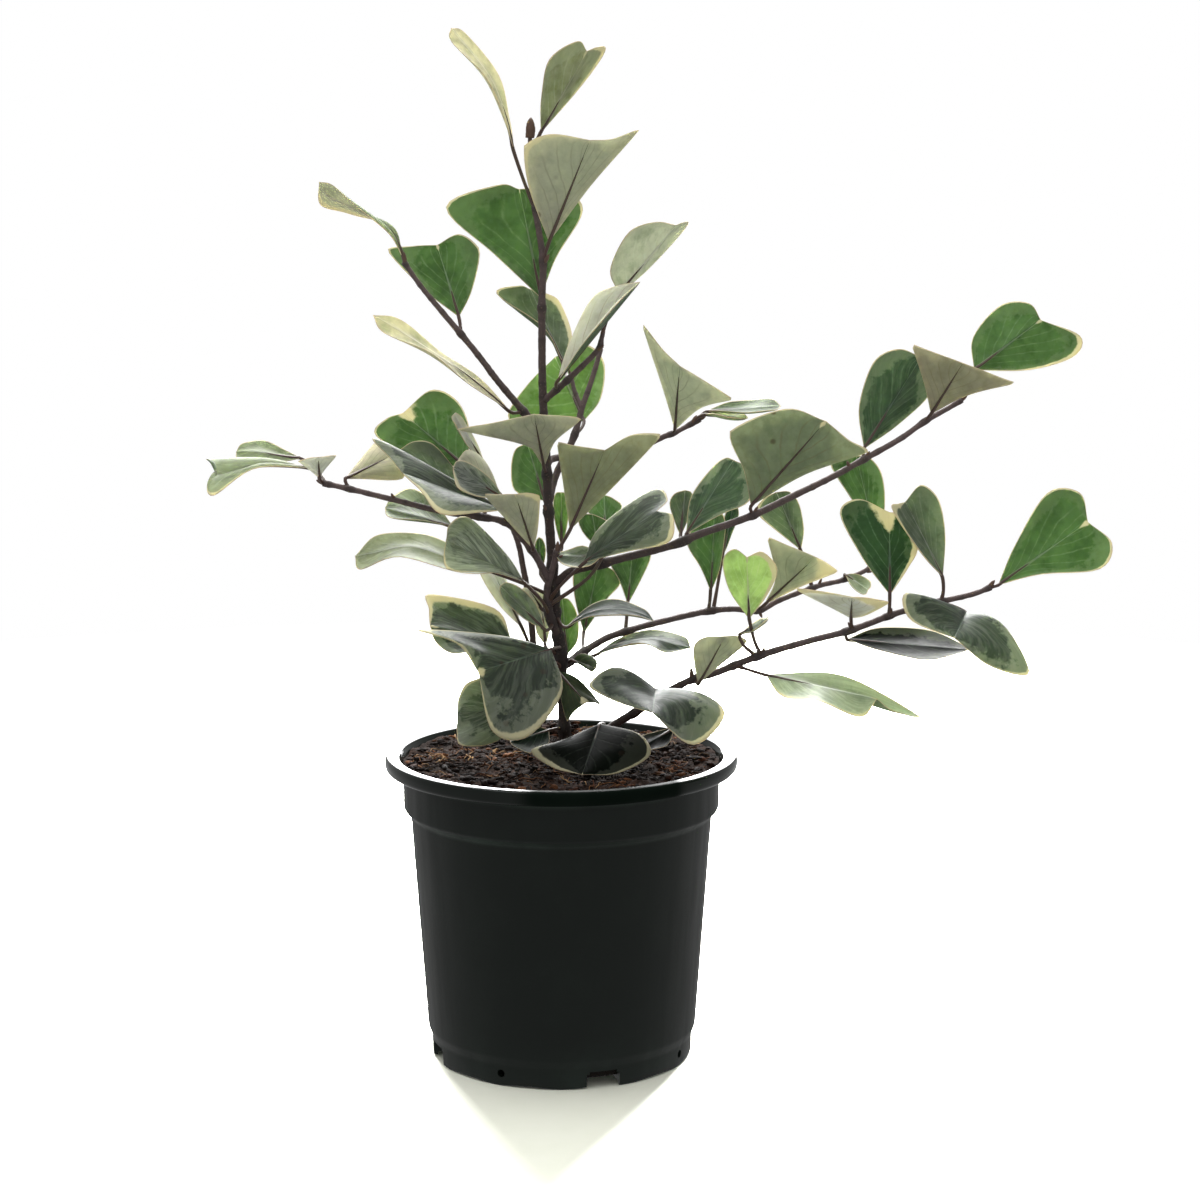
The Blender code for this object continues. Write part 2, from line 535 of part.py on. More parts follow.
class Blade:
    """The surface of one leaf, from its record: two halves, each stretched from the midrib to its edge."""

    def __init__(self, leaf):
        self.leaf = leaf
        self.foot = seen(leaf.foot)
        self.apex = seen(leaf.apex)
        self.length = (self.apex - self.foot).length
        edges = [self.edge_points(leaf.left), self.edge_points(leaf.right)]
        normal = (edges[1][2] - edges[0][2]).cross(self.apex - self.foot).normalized()
        if (normal.dot(EYE - self.foot) < 0.0) != leaf.under:
            edges.reverse()
            normal.negate()
        self.edges = edges
        self.normal = normal

    def edge_points(self, side):
        leaf = self.leaf
        flank, corner, lobe = side
        return [
            self.foot,
            seen(halfway(leaf.foot, corner, flank)),
            seen(corner),
            seen(halfway(corner, leaf.apex, lobe)),
            self.apex,
        ]

    def edge(self, side, along):
        """A point of one edge, 0 at the foot and 1 at the apex, on a smooth curve through its points."""
        points = self.edges[side]
        spans = len(points) - 1
        span = min(int(along * spans), spans - 1)
        share = along * spans - span
        start, end = points[span], points[span + 1]
        run = end - start
        leave = (end - points[span - 1]) / 2 if span else run
        reach = (points[span + 2] - start) / 2 if span < spans - 1 else run
        if span == 2:
            leave = leave.lerp(run, self.leaf.pointed)
        if span == 1:
            reach = reach.lerp(run, self.leaf.pointed)
        bulge = leave * (share * (1.0 - share) ** 2) - reach * (share ** 2 * (1.0 - share))
        return start + run * (share ** 2 * (3.0 - 2.0 * share)) + bulge

    def rib(self, along):
        """A point of the midrib: straight, or bent to run midway between the edges of an arched blade."""
        line = self.foot.lerp(self.apex, along)
        return line.lerp((self.edge(0, along) + self.edge(1, along)) / 2, self.leaf.arched)

    def point(self, across, along):
        """A point of the blade: across runs from -1 at one edge to 1 at the other, 0 being the midrib."""
        share = abs(across)
        place = self.rib(along).lerp(self.edge(int(across > 0.0), along), share)
        sink = self.leaf.cup * 4.0 * share * (1.0 - share) * math.sin(math.pi * along)
        return place - self.normal * (sink * MM)


def make_blade(blade, collection):
    """One leaf blade: a shaped grid, cut into triangles alike on both faces, given its thickness."""
    rows = SMALL_BLADE_ROWS if blade.length < SMALL_BLADE_LENGTH else BLADE_ROWS
    shape = bmesh.new()
    bmesh.ops.create_grid(shape, x_segments=len(BLADE_COLUMNS) - 1, y_segments=len(rows) - 1, size=1.0)
    for vertex in shape.verts:
        column = round((vertex.co.x + 1.0) / 2.0 * (len(BLADE_COLUMNS) - 1))
        row = round((vertex.co.y + 1.0) / 2.0 * (len(rows) - 1))
        vertex.co = blade.point(BLADE_COLUMNS[column], rows[row])
    bmesh.ops.remove_doubles(shape, verts=shape.verts, dist=WELD_DISTANCE)
    bmesh.ops.triangulate(shape, faces=shape.faces)
    mesh = bpy.data.meshes.new(blade.leaf.name)
    shape.to_mesh(mesh)
    shape.free()
    made = make_object(blade.leaf.name, mesh, collection)
    solidify = made.modifiers.new("Thickness", "SOLIDIFY")
    solidify.thickness = BLADE_THICKNESS
    solidify.offset = 0.0
    apply_modifiers(made)
    return made


def make_petiole(blade, root, collection):
    """The leaf's stalk, from inside the stem to a little way up the blade's midrib."""
    foot = blade.foot
    end = blade.point(0.0, PETIOLE_OVERLAP)
    rise = (foot - end).normalized() * ((foot - root).length * PETIOLE_BEND)
    bend = root.lerp(foot, PETIOLE_BEND_AT) + rise
    radii = [PETIOLE_RADIUS, PETIOLE_RADIUS, PETIOLE_RADIUS, PETIOLE_END_RADIUS]
    return make_tube(blade.leaf.name + "_stalk", [root, bend, foot, end], radii, collection, sides_level=0)


def make_stem(stem, plant, working):
    """One stem with its side shoot, stalks and blades joined into a single body."""
    points = buried_route(stem)
    made = make_tube(stem.name, points, stem_radii(stem, len(points)), plant, STEM_SIDES_LEVEL)
    if stem.side_shoot:
        shoot = [seen(p) for p in stem.side_shoot]
        make_tube(stem.name + "_side", shoot, [stem.tip_radius * MM] * len(shoot), working)
    above = [seen(p) for p in stem.route]
    for leaf in stem.leaves:
        blade = Blade(leaf)
        make_blade(blade, working)
        make_petiole(blade, nearest_on(above, leaf.root, stem.route), working)
    cut_with(made, working, "UNION")
    remove_objects(working.objects)
    made.data.materials.clear()
    made.data.materials.append(make_material(stem.name + "_leaf", stem.colour, LEAF_ROUGHNESS))
    return made


def clear_of_parent(made, parent, cutters):
    """Cut a branch off just clear of the stem that it grows from."""
    points = buried_route(parent)
    radii = [r + GAP for r in stem_radii(parent, len(points))]
    make_tube(parent.name + "_clearance", points, radii, cutters, STEM_SIDES_LEVEL)
    cut_with(made, cutters)
    remove_objects(cutters.objects)


def inner_profile(inset):
    """The pot's inside from the floor's middle up to the lip, moved in by an inset."""
    floor = FLOOR_UNDERSIDE + FLOOR_THICKNESS + inset
    return [
        (0.0, floor),
        (BODY_LOW_RADIUS - WALL - FLOOR_CORNER - inset, floor),
        (BODY_LOW_RADIUS - WALL - inset, BODY_LOW),
        (BODY_TOP_RADIUS - WALL - inset, BODY_TOP - WALL),
        (COLLAR_LOW_RADIUS - WALL - inset, COLLAR_BOTTOM),
        (COLLAR_RADIUS - WALL - inset, POT_HEIGHT - LIP_HEIGHT),
    ]


def pot_profile():
    """The pot's half section, from the floor's middle inside, over the lip and down the outer side."""
    lip = [(LIP_INNER_RADIUS, POT_HEIGHT)]
    lip += [(LIP_RADIUS - inward, POT_HEIGHT - down) for inward, down in LIP_SECTION]
    lip.append((COLLAR_RADIUS + LIP_ROOT, POT_HEIGHT - LIP_HEIGHT))
    lip.append((COLLAR_RADIUS, POT_HEIGHT - LIP_HEIGHT - LIP_ROOT))
    side = [
        (COLLAR_LOW_RADIUS, COLLAR_BOTTOM),
        (COLLAR_LOW_RADIUS - COLLAR_CHAMFER, COLLAR_BOTTOM - COLLAR_CHAMFER),
        (BODY_TOP_RADIUS, BODY_TOP),
        (BODY_LOW_RADIUS, BODY_LOW),
        (FOOT_RADIUS, FOOT_TOP),
        (FOOT_LOW_RADIUS, 0.0),
        (FOOT_LOW_RADIUS - WALL, 0.0),
        (FOOT_LOW_RADIUS - WALL, FLOOR_UNDERSIDE),
        (0.0, FLOOR_UNDERSIDE),
    ]
    return inner_profile(0.0) + lip + side


def make_turned(name, profile, steps, collection):
    """A solid turned from a half section that starts and ends on the axis."""
    mesh = bpy.data.meshes.new(name)
    mesh.from_pydata([(r, 0.0, z) for r, z in profile], [(i, i + 1) for i in range(len(profile) - 1)], [])
    made = make_object(name, mesh, collection)
    screw = made.modifiers.new("Turn", "SCREW")
    screw.steps = steps
    screw.render_steps = steps
    screw.use_merge_vertices = True
    screw.merge_threshold = WELD_DISTANCE
    apply_modifiers(made)
    shape = bmesh.new()
    shape.from_mesh(made.data)
    bmesh.ops.remove_doubles(shape, verts=shape.verts, dist=WELD_DISTANCE)
    bmesh.ops.recalc_face_normals(shape, faces=shape.faces)
    shape.to_mesh(made.data)
    shape.free()
    return made


def scallop_foot(pot):
    """Raise the foot ring's lower edge in shallow waves between its resting points."""
    for vertex in pot.data.vertices:
        if vertex.co.z < LEVEL_TOLERANCE:
            turn = math.atan2(vertex.co.y, vertex.co.x)
            vertex.co.z = SCALLOP_DEPTH * (1.0 - math.cos(SCALLOPS * turn)) / 2


def turned_to(angle_deg, radius, height):
    """A place round the foot, with its local Y pointing out of the pot. 0 degrees is the -Y side."""
    spin = Matrix.Rotation(math.radians(angle_deg + 180.0), 4, "Z")
    return spin @ Matrix.Translation((0.0, radius, height))


def make_drain_cutters(cutters):
    for index in range(SLOT_COUNT):
        angle = FIRST_SLOT_DEG + index * 360.0 / SLOT_COUNT
        shape = bmesh.new()
        bmesh.ops.create_cube(shape, size=1.0)
        size = Matrix.Diagonal((SLOT_WIDTH, SLOT_DEPTH, 2 * SLOT_HEIGHT, 1.0))
        place = turned_to(angle, FOOT_RADIUS - SLOT_INWARD, 0.0)
        bmesh.ops.transform(shape, matrix=place @ size, verts=shape.verts)
        mesh = bpy.data.meshes.new("drain_slot")
        shape.to_mesh(mesh)
        shape.free()
        make_object(f"drain_slot_{index}", mesh, cutters)
        shape = bmesh.new()
        bmesh.ops.create_cone(
            shape, cap_ends=True, segments=DRAIN_HOLE_SIDES, radius1=DRAIN_HOLE_RADIUS,
            radius2=DRAIN_HOLE_RADIUS, depth=SLOT_DEPTH / 2,
        )
        lay = Matrix.Rotation(math.pi / 2, 4, "X")
        place = turned_to(angle + 180.0 / SLOT_COUNT, FOOT_RADIUS, DRAIN_HOLE_HEIGHT)
        bmesh.ops.transform(shape, matrix=place @ lay, verts=shape.verts)
        mesh = bpy.data.meshes.new("drain_hole")
        shape.to_mesh(mesh)
        shape.free()
        make_object(f"drain_hole_{index}", mesh, cutters)


def make_pot(plant, cutters):
    pot = make_turned("nursery_pot", pot_profile(), POT_STEPS, plant)
    scallop_foot(pot)
    make_drain_cutters(cutters)
    cut_with(pot, cutters)
    remove_objects(cutters.objects)
    pot.data.shade_smooth()
    pot.data.set_sharp_from_angle(angle=math.radians(CREASE_DEG))
    pot.data.materials.append(make_material("pot_plastic", POT_COLOUR, POT_ROUGHNESS))


def soil_profile():
    """The soil's half section: it fills the pot's inside to just under the lip."""
    fill = inner_profile(GAP)[:-1]
    edge_radius = COLLAR_RADIUS - WALL - GAP
    edge = (edge_radius, SOIL_LEVEL - SOIL_EDGE_DROP)
    top = [(edge_radius * share, SOIL_LEVEL) for share in SOIL_RINGS]
    return fill + [edge] + top + [(0.0, SOIL_LEVEL)]


def heap_soil(soil):
    """Mound the soil's top and make it uneven, with its rim left level."""
    for vertex in soil.data.vertices:
        if vertex.co.z < SOIL_LEVEL - LEVEL_TOLERANCE:
            continue
        from_axis = math.hypot(vertex.co.x, vertex.co.y) / COLLAR_RADIUS
        bump = noise.noise(vertex.co * SOIL_BUMPS_PER_METRE) * SOIL_BUMP
        vertex.co.z += SOIL_MOUND * (1.0 - from_axis ** 2) + bump


def make_soil(plant, cutters):
    """Potting soil with a plain hole for each stem that stands in it."""
    soil = make_turned("potting_soil", soil_profile(), SOIL_STEPS, plant)
    heap_soil(soil)
    for stem in ROOTED:
        points = buried_route(stem)[:3]
        points[0] = points[0] - Vector((0.0, 0.0, GAP))
        radii = [r + GAP for r in stem_radii(stem, len(stem.route) + 1)][:3]
        make_tube(stem.name + "_hole", points, radii, cutters, STEM_SIDES_LEVEL)
    cut_with(soil, cutters)
    remove_objects(cutters.objects)
    soil.data.materials.append(make_material("soil", SOIL_COLOUR, SOIL_ROUGHNESS))


def make_collection(name, hidden=False):
    collection = bpy.data.collections.new(name)
    bpy.context.scene.collection.children.link(collection)
    collection.hide_render = hidden
    return collection


def main():
    remove_objects(bpy.data.objects)
    plant = make_collection("potted_triangle_fig")
    working = make_collection("working", hidden=True)
    cutters = make_collection("cutters", hidden=True)
    make_pot(plant, cutters)
    make_soil(plant, cutters)
    by_name = {stem.name: stem for stem in STEMS}
    for stem in STEMS:
        made = make_stem(stem, plant, working)
        if stem.parent:
            clear_of_parent(made, by_name[stem.parent], cutters)


main()
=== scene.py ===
"""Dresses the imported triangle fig: finer leaves, bark, buds, soil and pot, on a pale studio floor.

Metres, +Z up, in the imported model's frame. The viewer of the photograph stands at -Y.
"""

import json
import math
import random
from typing import NamedTuple

import bmesh
import bpy
from mathutils import Matrix, Vector, noise

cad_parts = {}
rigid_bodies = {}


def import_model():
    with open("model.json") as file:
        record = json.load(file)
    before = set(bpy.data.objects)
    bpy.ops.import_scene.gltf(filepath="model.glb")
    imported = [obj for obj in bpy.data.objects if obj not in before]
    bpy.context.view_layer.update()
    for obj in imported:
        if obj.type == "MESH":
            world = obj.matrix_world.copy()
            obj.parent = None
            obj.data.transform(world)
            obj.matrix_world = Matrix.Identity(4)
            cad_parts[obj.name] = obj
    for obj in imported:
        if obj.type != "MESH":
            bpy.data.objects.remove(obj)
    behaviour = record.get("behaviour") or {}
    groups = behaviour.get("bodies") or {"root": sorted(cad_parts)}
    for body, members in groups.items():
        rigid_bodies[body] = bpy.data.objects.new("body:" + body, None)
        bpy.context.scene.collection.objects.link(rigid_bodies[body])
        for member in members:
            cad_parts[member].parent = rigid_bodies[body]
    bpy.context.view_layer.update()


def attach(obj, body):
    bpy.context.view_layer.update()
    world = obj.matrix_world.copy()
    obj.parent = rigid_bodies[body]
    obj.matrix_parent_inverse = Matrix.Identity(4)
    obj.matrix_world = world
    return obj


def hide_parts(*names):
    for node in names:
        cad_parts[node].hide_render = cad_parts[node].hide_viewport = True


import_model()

bl_info = {
    "name": "Potted triangle fig",
    "version": (1, 0, 0),
    "blender": (4, 5, 0),
    "location": "3D View > Sidebar > Triangle fig",
    "description": "Builds the finished leaves, stems, soil and pot of a potted triangle fig",
    "category": "Object",
}

MM = 0.001

# The photograph's centre and focal length in pixels, and the eye's place and angles.
# Points are (x, y, nearness): x and y are pixels, and nearness is how many millimetres
# nearer to the viewer than the pot's axis the point lies.
PHOTO_CENTRE = 600.0
FOCAL_LENGTH = 2880.0
SENSOR = 36.0
EYE = Vector((0.0, -1.2126, 0.4003))
EYE_DOWN = 0.16467
EYE_RIGHT = 0.01372


class Leaf(NamedTuple):
    """A blade by its foot, its apex and the three points that each of its edges passes through.

    An edge runs from the foot past a side point, the corner and a lobe point to the apex. The corner
    has its own nearness, and the other two lie halfway in depth. The root is where its stalk grows.
    Cream widths are shares of the half blade on the photograph's left and right, and of the length at
    the tip. Sheen sets a painted sheen, a whitening in streaks along the veins that stands in for light
    caught on the waxy skin; it also raises the gloss and the grey-green zone. Flecks is the share of
    brown specks. Under is for a blade that shows its underside, pointed sharpens its corners, cup is how
    far each half sinks, in millimetres, and arched draws the midrib from its straight line to the middle
    between the edges.
    """

    name: str
    root: tuple
    foot: tuple
    apex: tuple
    left: tuple
    right: tuple
    tone: str
    cream: tuple = (0.055, 0.055, 0.055)
    sheen: float = 0.0
    flecks: float = 0.0
    under: bool = False
    pointed: float = 0.0
    cup: float = 1.2
    arched: float = 0.0


class Stem(NamedTuple):
    """A stem by the points that it passes through, with its leaves and its buds or stubs.

    Radii are in millimetres. A bud has its base, its tip and its greatest radius.
    """

    name: str
    radius: float
    tip_radius: float
    route: tuple
    leaves: tuple
    buds: tuple = ()
    side_shoot: tuple = ()


MAIN_STEM = Stem(
    "main_stem", 2.6, 0.9,
    ((565, 757, 0), (563, 700, 1), (560, 650, 2), (556, 620, 3), (552, 560, 3), (548, 500, 2), (546, 450, 1),
     (543, 400, 0), (542, 350, -1), (542, 300, -2), (543, 262, -3), (539, 232, -5), (535, 208, -7),
     (531, 180, -9), (530, 158, -10), (530, 137, -10)),
    (
        Leaf("crown_upright", (536, 210), (514, 150, -8), (451, 28, -8),
             ((505, 118), (484, 76, 2), (452, 41)), ((510, 118), (498, 76, -18), (466, 33)), "stone",
             (0.045, 0.045, 0.023), arched=0.9),
        Leaf("crown_folded", (530, 155), (541, 133, -8), (587, 51, -14), ((541, 95), (550, 60, 0), (577, 41)),
             ((572, 97), (605, 52, -30), (598, 47)), "moss", (0.045, 0.175, 0.154), 0.05),
        Leaf("crown_broad", (545, 262), (549, 242, 0), (590, 140, 8), ((529, 188), (524, 146, 4), (550, 134)),
             ((592, 184), (639, 130, 6), (612, 139)), "stone", (0.16, 0.054, 0.063), flecks=0.7, under=True,
             pointed=0.6),
        Leaf("crown_rear", (542, 308), (541, 298, -7), (519, 189, -20),
             ((494, 254), (446, 207, -16), (498, 185)), ((556, 258), (583, 210, -24), (560, 188)), "vivid",
             (0.045, 0.063, 0.072)),
        Leaf("collar_level", (546, 474), (544, 467, 6), (534, 414, 26),
             ((520, 439), (457, 429, 34), (500, 421.5)), ((557, 438), (581, 419, 30), (560, 416)), "stone",
             (0.045, 0.045, 0.036), under=True, pointed=0.5),
        Leaf("rear_left", (548, 512), (545, 501, -6), (527, 443, -22),
             ((516, 492), (511, 470, -16), (515, 450)), ((548, 480), (546, 455, -22), (537, 444)), "vivid"),
        Leaf("rear_right", (553, 566), (562, 548, -8), (561, 492, -20),
             ((556, 525), (553, 503, -16), (556, 493)), ((567, 528), (569, 508, -20), (566, 494)), "bright"),
        Leaf("rear_small", (552, 588), (541, 574, -4), (539, 537, -10),
             ((536, 562), (534, 550, -8), (536, 541)), ((544, 563), (546, 549, -10), (543, 540)), "vivid"),
        Leaf("left_silver", (552, 598), (497, 573, 22), (355, 556, 34),
             ((462, 573), (400, 556, 44), (361, 570)), ((455, 548), (420, 533, 16), (378, 535)), "mist",
             (0.036, 0.045, 0.027), 0.06, arched=0.9),
        Leaf("arched", (556, 612), (566, 627, 8), (654, 621, 10), ((589, 606), (617, 599.5, -6), (643, 608)),
             ((589, 617), (616, 614, 22), (640, 617)), "dark", (0.045, 0.072, 0.045), arched=0.9),
        Leaf("front_upper", (558, 655), (512, 640, 14), (430, 626, 22),
             ((494, 608), (430, 594, 8), (429, 610)), ((490, 647), (455, 653, 30), (436, 643)), "dark",
             (0.3, 0.063, 0.154), 0.12),
        Leaf("front_drape", (559, 648), (551, 649, 18), (478, 672, 42),
             ((500, 636), (419, 629, 26), (458, 645)), ((562, 692), (528, 737, 46), (492, 730)), "dark",
             (0.2, 0.15, 0.16), 0.11, 0.4, cup=-3.0),
        Leaf("front_behind", (562, 695), (543, 704, 8), (457, 714, 30),
             ((512, 675), (472, 680, 22), (459, 695)), ((497, 741), (463, 746, 38), (457, 733)), "dark",
             (0.12, 0.045, 0.045), 0.26, cup=-1.5),
        Leaf("front_small", (564, 728), (549, 730, 7), (510, 742, 20),
             ((530, 724), (518, 732, 10), (511, 738)), ((548, 745), (530, 753, 26), (515, 747)), "dark",
             (0.054, 0.054, 0.045)),
        Leaf("front_centre", (560, 664), (556, 670, 9), (586, 703, 27),
             ((561, 698), (567, 722, 28), (574, 712)), ((580, 680), (604, 708, 20), (595, 703)), "shade",
             (0.063, 0.063, 0.3), under=True, pointed=0.6),
        Leaf("rear_green", (558, 636), (567, 655, -14), (562, 598, -26),
             ((557, 640), (553, 615, -20), (556, 602)), ((578, 640), (577, 615, -28), (570, 600)), "bright"),
        Leaf("rear_pale", (556, 656), (546, 646, -14), (541, 590, -22),
             ((537, 632), (535, 610, -18), (537, 596)), ((549, 632), (550, 610, -24), (547, 596)), "pale"),
    ),
    buds=(((530, 138, -10), (531, 117, -10), 3.0), ((545, 262, -2), (549, 254, 0), 1.3),
          ((548, 512, 3), (543, 505, 5), 1.2), ((562, 668, 3), (555, 661, 6), 1.4)),
)

FRONT_SHOOT = Stem(
    "front_shoot", 1.8, 1.1,
    ((558, 636, 3), (549, 614, 8), (547, 590, 12), (552, 571, 14), (557, 550, 16)),
    (
        Leaf("high_triangle", (557, 552), (570, 530, 18), (605, 450, 26),
             ((564, 490), (557, 442, 22), (578, 446)), ((618, 482), (663, 434, 34), (632, 435)), "moss",
             (0.045, 0.054, 0.045), under=True, pointed=0.8),
        Leaf("two_lobed", (550, 602), (583, 563, 24), (657, 511, 34),
             ((600, 528), (652, 489, 18), (668, 499)), ((630, 551), (670, 541, 46), (673, 516)), "dark",
             (0.072, 0.126, 0.063), 0.13, cup=-1.5),
        Leaf("wedge", (549, 606), (602, 556, 17), (556, 556, 16), ((585, 546), (570, 549, 11), (560, 552)),
             ((590, 566), (575, 567, 24), (562, 564)), "grey", (0.054, 0.3, 0.063), 0.15),
        Leaf("low_pale", (549, 612), (541, 609, 6), (527, 588, 7), ((530, 604), (522, 593, 10), (523, 588)),
             ((542, 600), (538, 592, 4), (532, 588)), "pale", under=True),
        Leaf("low_narrow", (552, 622), (546, 630, 14), (500, 586, 16),
             ((523, 618), (506, 602, 20), (500, 592)), ((536, 604), (520, 588, 10), (507, 582)), "grey",
             (0.054, 0.054, 0.054), 0.1),
        Leaf("left_face", (548, 617), (524, 582, 26), (446, 540, 46),
             ((495, 573), (452, 571, 56), (444, 557)), ((505, 552), (468, 518, 34), (450, 524)), "dark",
             (0.072, 0.063, 0.063), 0.42, cup=-2.0),
    ),
    buds=(((557, 552, 16), (558, 541, 17), 1.4), ((556, 560, 15), (563, 555, 17), 1.1)),
)

UPPER_LEFT = Stem(
    "upper_left_branch", 1.6, 1.0,
    ((545, 440, 1), (528, 417, 7), (513, 399, 9), (497, 380, 12), (482, 360, 14), (466, 340, 17),
     (449, 320, 19), (433, 301, 21), (420, 285, 23), (404, 262, 26)),
    (
        Leaf("tip_twisted", (405, 263), (403, 258, 26), (319, 182, 32),
             ((386, 231), (346, 197, 38), (329, 184)), ((392, 226), (350, 214, 22), (321, 206)), "sand",
             (0.054, 0.4, 0.045), 0.2, arched=0.9),
        Leaf("triangle", (461, 334), (459, 317, 14), (437, 245, 2), ((422, 288), (387, 250, 6), (412, 246)),
             ((472, 290), (480, 250, 0), (460, 234)), "vivid", (0.054, 0.054, 0.154), pointed=0.4),
        Leaf("narrow", (523, 412), (510, 411, 12), (373, 315, 22), ((473, 386), (433, 355, 30), (385, 333)),
             ((476, 374), (437, 350, 10), (400, 319)), "stone", (0.03, 0.03, 0.03), arched=0.9),
    ),
    buds=(((405, 264, 26), (404, 252, 27), 1.3), ((459, 332, 18), (455, 324, 19), 1.0)),
)

UPPER_RIGHT_SHOOT = Stem(
    "upper_right_shoot", 1.5, 0.9,
    ((543, 402, 0), (556, 390, 3), (575, 373, 5), (598, 350, 7), (601, 341, 8), (603, 332, 8)),
    (
        Leaf("behind_stem", (567, 380), (563, 362, -8), (530, 289, -24),
             ((543, 327), (497, 293, -14), (519, 286)), ((572, 335), (561, 304, -30), (547, 294)), "grey",
             (0.063, 0.3, 0.045)),
        Leaf("beige", (558, 389), (557, 383, 8), (640, 282, 16), ((568, 345), (592, 300, 0), (614, 286)),
             ((582, 346), (613, 307, 28), (632, 290)), "beige", (0.054, 0.054, 0.045), under=True),
        Leaf("silver", (600, 346), (619, 294, 0), (676, 225, -12), ((610, 268), (628, 234, 8), (655, 222)),
             ((648, 270), (686, 226, -28), (683, 223)), "silver", (0.045, 0.045, 0.036), 0.05),
    ),
    buds=(((602, 338, 8), (604, 325, 8), 1.4), ((598, 350, 8), (604, 345, 9), 1.0)),
)

BACK_SHOOT = Stem(
    "back_shoot", 1.6, 1.0,
    ((549, 502, 2), (556, 475, -8), (573, 439, -15), (578, 422, -18), (583, 405, -21), (590, 385, -25),
     (596, 366, -28), (601, 349, -30)),
    (
        Leaf("broad_green", (575, 434), (584, 421, -24), (555, 357, -46),
             ((540, 430), (508, 418, -34), (527, 385)), ((601, 398), (604, 362, -52), (586, 345)), "bright",
             (0.045, 0.063, 0.054)),
    ),
    buds=(((601, 349, -30), (603, 339, -31), 1.1), ((571, 378, -27), (569, 369, -28), 0.9)),
    side_shoot=((582, 409, -20), (575, 392, -24), (571, 377, -27)),
)

RIGHT_BACK = Stem(
    "right_back_branch", 1.6, 1.0,
    ((547, 464, 1), (556, 458, -6), (600, 455, -16), (640, 447, -22), (663, 437, -24), (676, 432, -24),
     (700, 419, -26)),
    (
        Leaf("spread", (672, 434), (675, 430, -22), (680, 366, 2), ((665, 394), (641, 323, 4), (662, 348)),
             ((702, 407), (733, 400, 6), (709, 383)), "pale", (0.045, 0.045, 0.036), under=True, pointed=1.0),
        Leaf("side_silver", (699, 420), (706, 411, -27), (781, 406, -34),
             ((730, 402), (755, 399, -46), (773, 400)), ((730, 411), (755, 412, -18), (775, 410)), "grey",
             (0.045, 0.045, 0.045)),
        Leaf("side_pale", (692, 423), (704, 414, -24), (748, 418, -28),
             ((720, 411), (735, 412, -36), (744, 414)), ((716, 414), (730, 417, -16), (742, 419)), "pale"),
    ),
    buds=(((692, 424, -25), (697, 415, -25), 1.5), ((700, 419, -26), (706, 416, -26), 1.2)),
)

LEFT_BRANCH = Stem(
    "left_branch", 1.5, 1.1,
    ((549, 580, 13), (533, 552, 17), (514, 529, 22), (502, 521, 25), (481, 517, 28), (440, 511, 32),
     (395, 500, 36), (350, 489, 40), (323, 483, 42)),
    (
        Leaf("small_under", (530, 550), (533, 549, 22), (515, 494, 42),
             ((512, 526), (484, 495, 46), (500, 494)), ((538, 528), (540, 496, 36), (530, 493)), "stone",
             (0.054, 0.3, 0.14), under=True, pointed=0.7),
        Leaf("tip_small", (323, 483), (319, 478, 45), (318, 457, 56),
             ((310, 470), (298, 461, 58), (308, 458)), ((326, 466), (336, 455, 50), (328, 456)), "pearl",
             sheen=0.2, under=True, pointed=0.8),
        Leaf("tip_long", (323, 483), (311, 468, 41), (216, 470, 40), ((265, 459), (209, 458, 26), (214, 463)),
             ((255, 468), (215, 496, 56), (207, 485)), "olive", (0.1, 0.12, 0.1), 0.04, cup=-1.5, arched=0.8),
        Leaf("tip_far", (326, 484), (302, 458, 30), (236, 452, 14), ((283, 449), (262, 440, 4), (243, 443)),
             ((280, 462), (255, 463, 24), (238, 459)), "olive", (0.072, 0.063, 0.072), 0.03, arched=0.9),
        Leaf("pale_under", (350, 489), (345, 479, 39), (392, 456, 16),
             ((360, 460), (377, 441, 10), (386, 448)), ((368, 479), (402, 479, 20), (400, 466)), "sand",
             (0.045, 0.045, 0.036), under=True),
        Leaf("ridge", (505, 522), (504, 510, 30), (402, 473, 46), ((440, 474), (375, 438, 34), (388, 456)),
             ((480, 513), (441, 513, 62), (420, 491)), "dark", (0.045, 0.168, 0.045), 0.15, cup=-2.0),
        Leaf("inner", (478, 516), (470, 497, 24), (399, 450, 18), ((440, 490), (408, 470, 28), (398, 457)),
             ((462, 478), (436, 447, 8), (415, 441)), "grey", (0.154, 0.045, 0.054)),
        Leaf("heart", (486, 517), (466, 467, 14), (403, 413, -2), ((425, 462), (376, 436, 2), (386, 419)),
             ((470, 432), (458, 402, -8), (431, 390)), "vivid", (0.054, 0.054, 0.28)),
        Leaf("under_branch", (462, 514), (453, 526, 24), (385, 508, 6),
             ((425, 521), (398, 518, 16), (387, 516)), ((435, 503), (410, 488, -2), (392, 497)), "shade",
             (0.072, 0.063, 0.072), 0.2),
    ),
    buds=(((323, 483, 42), (316, 480, 43), 1.2), ((395, 500, 36), (391, 493, 37), 1.1),
          ((470, 516, 29), (466, 509, 31), 1.1)),
)

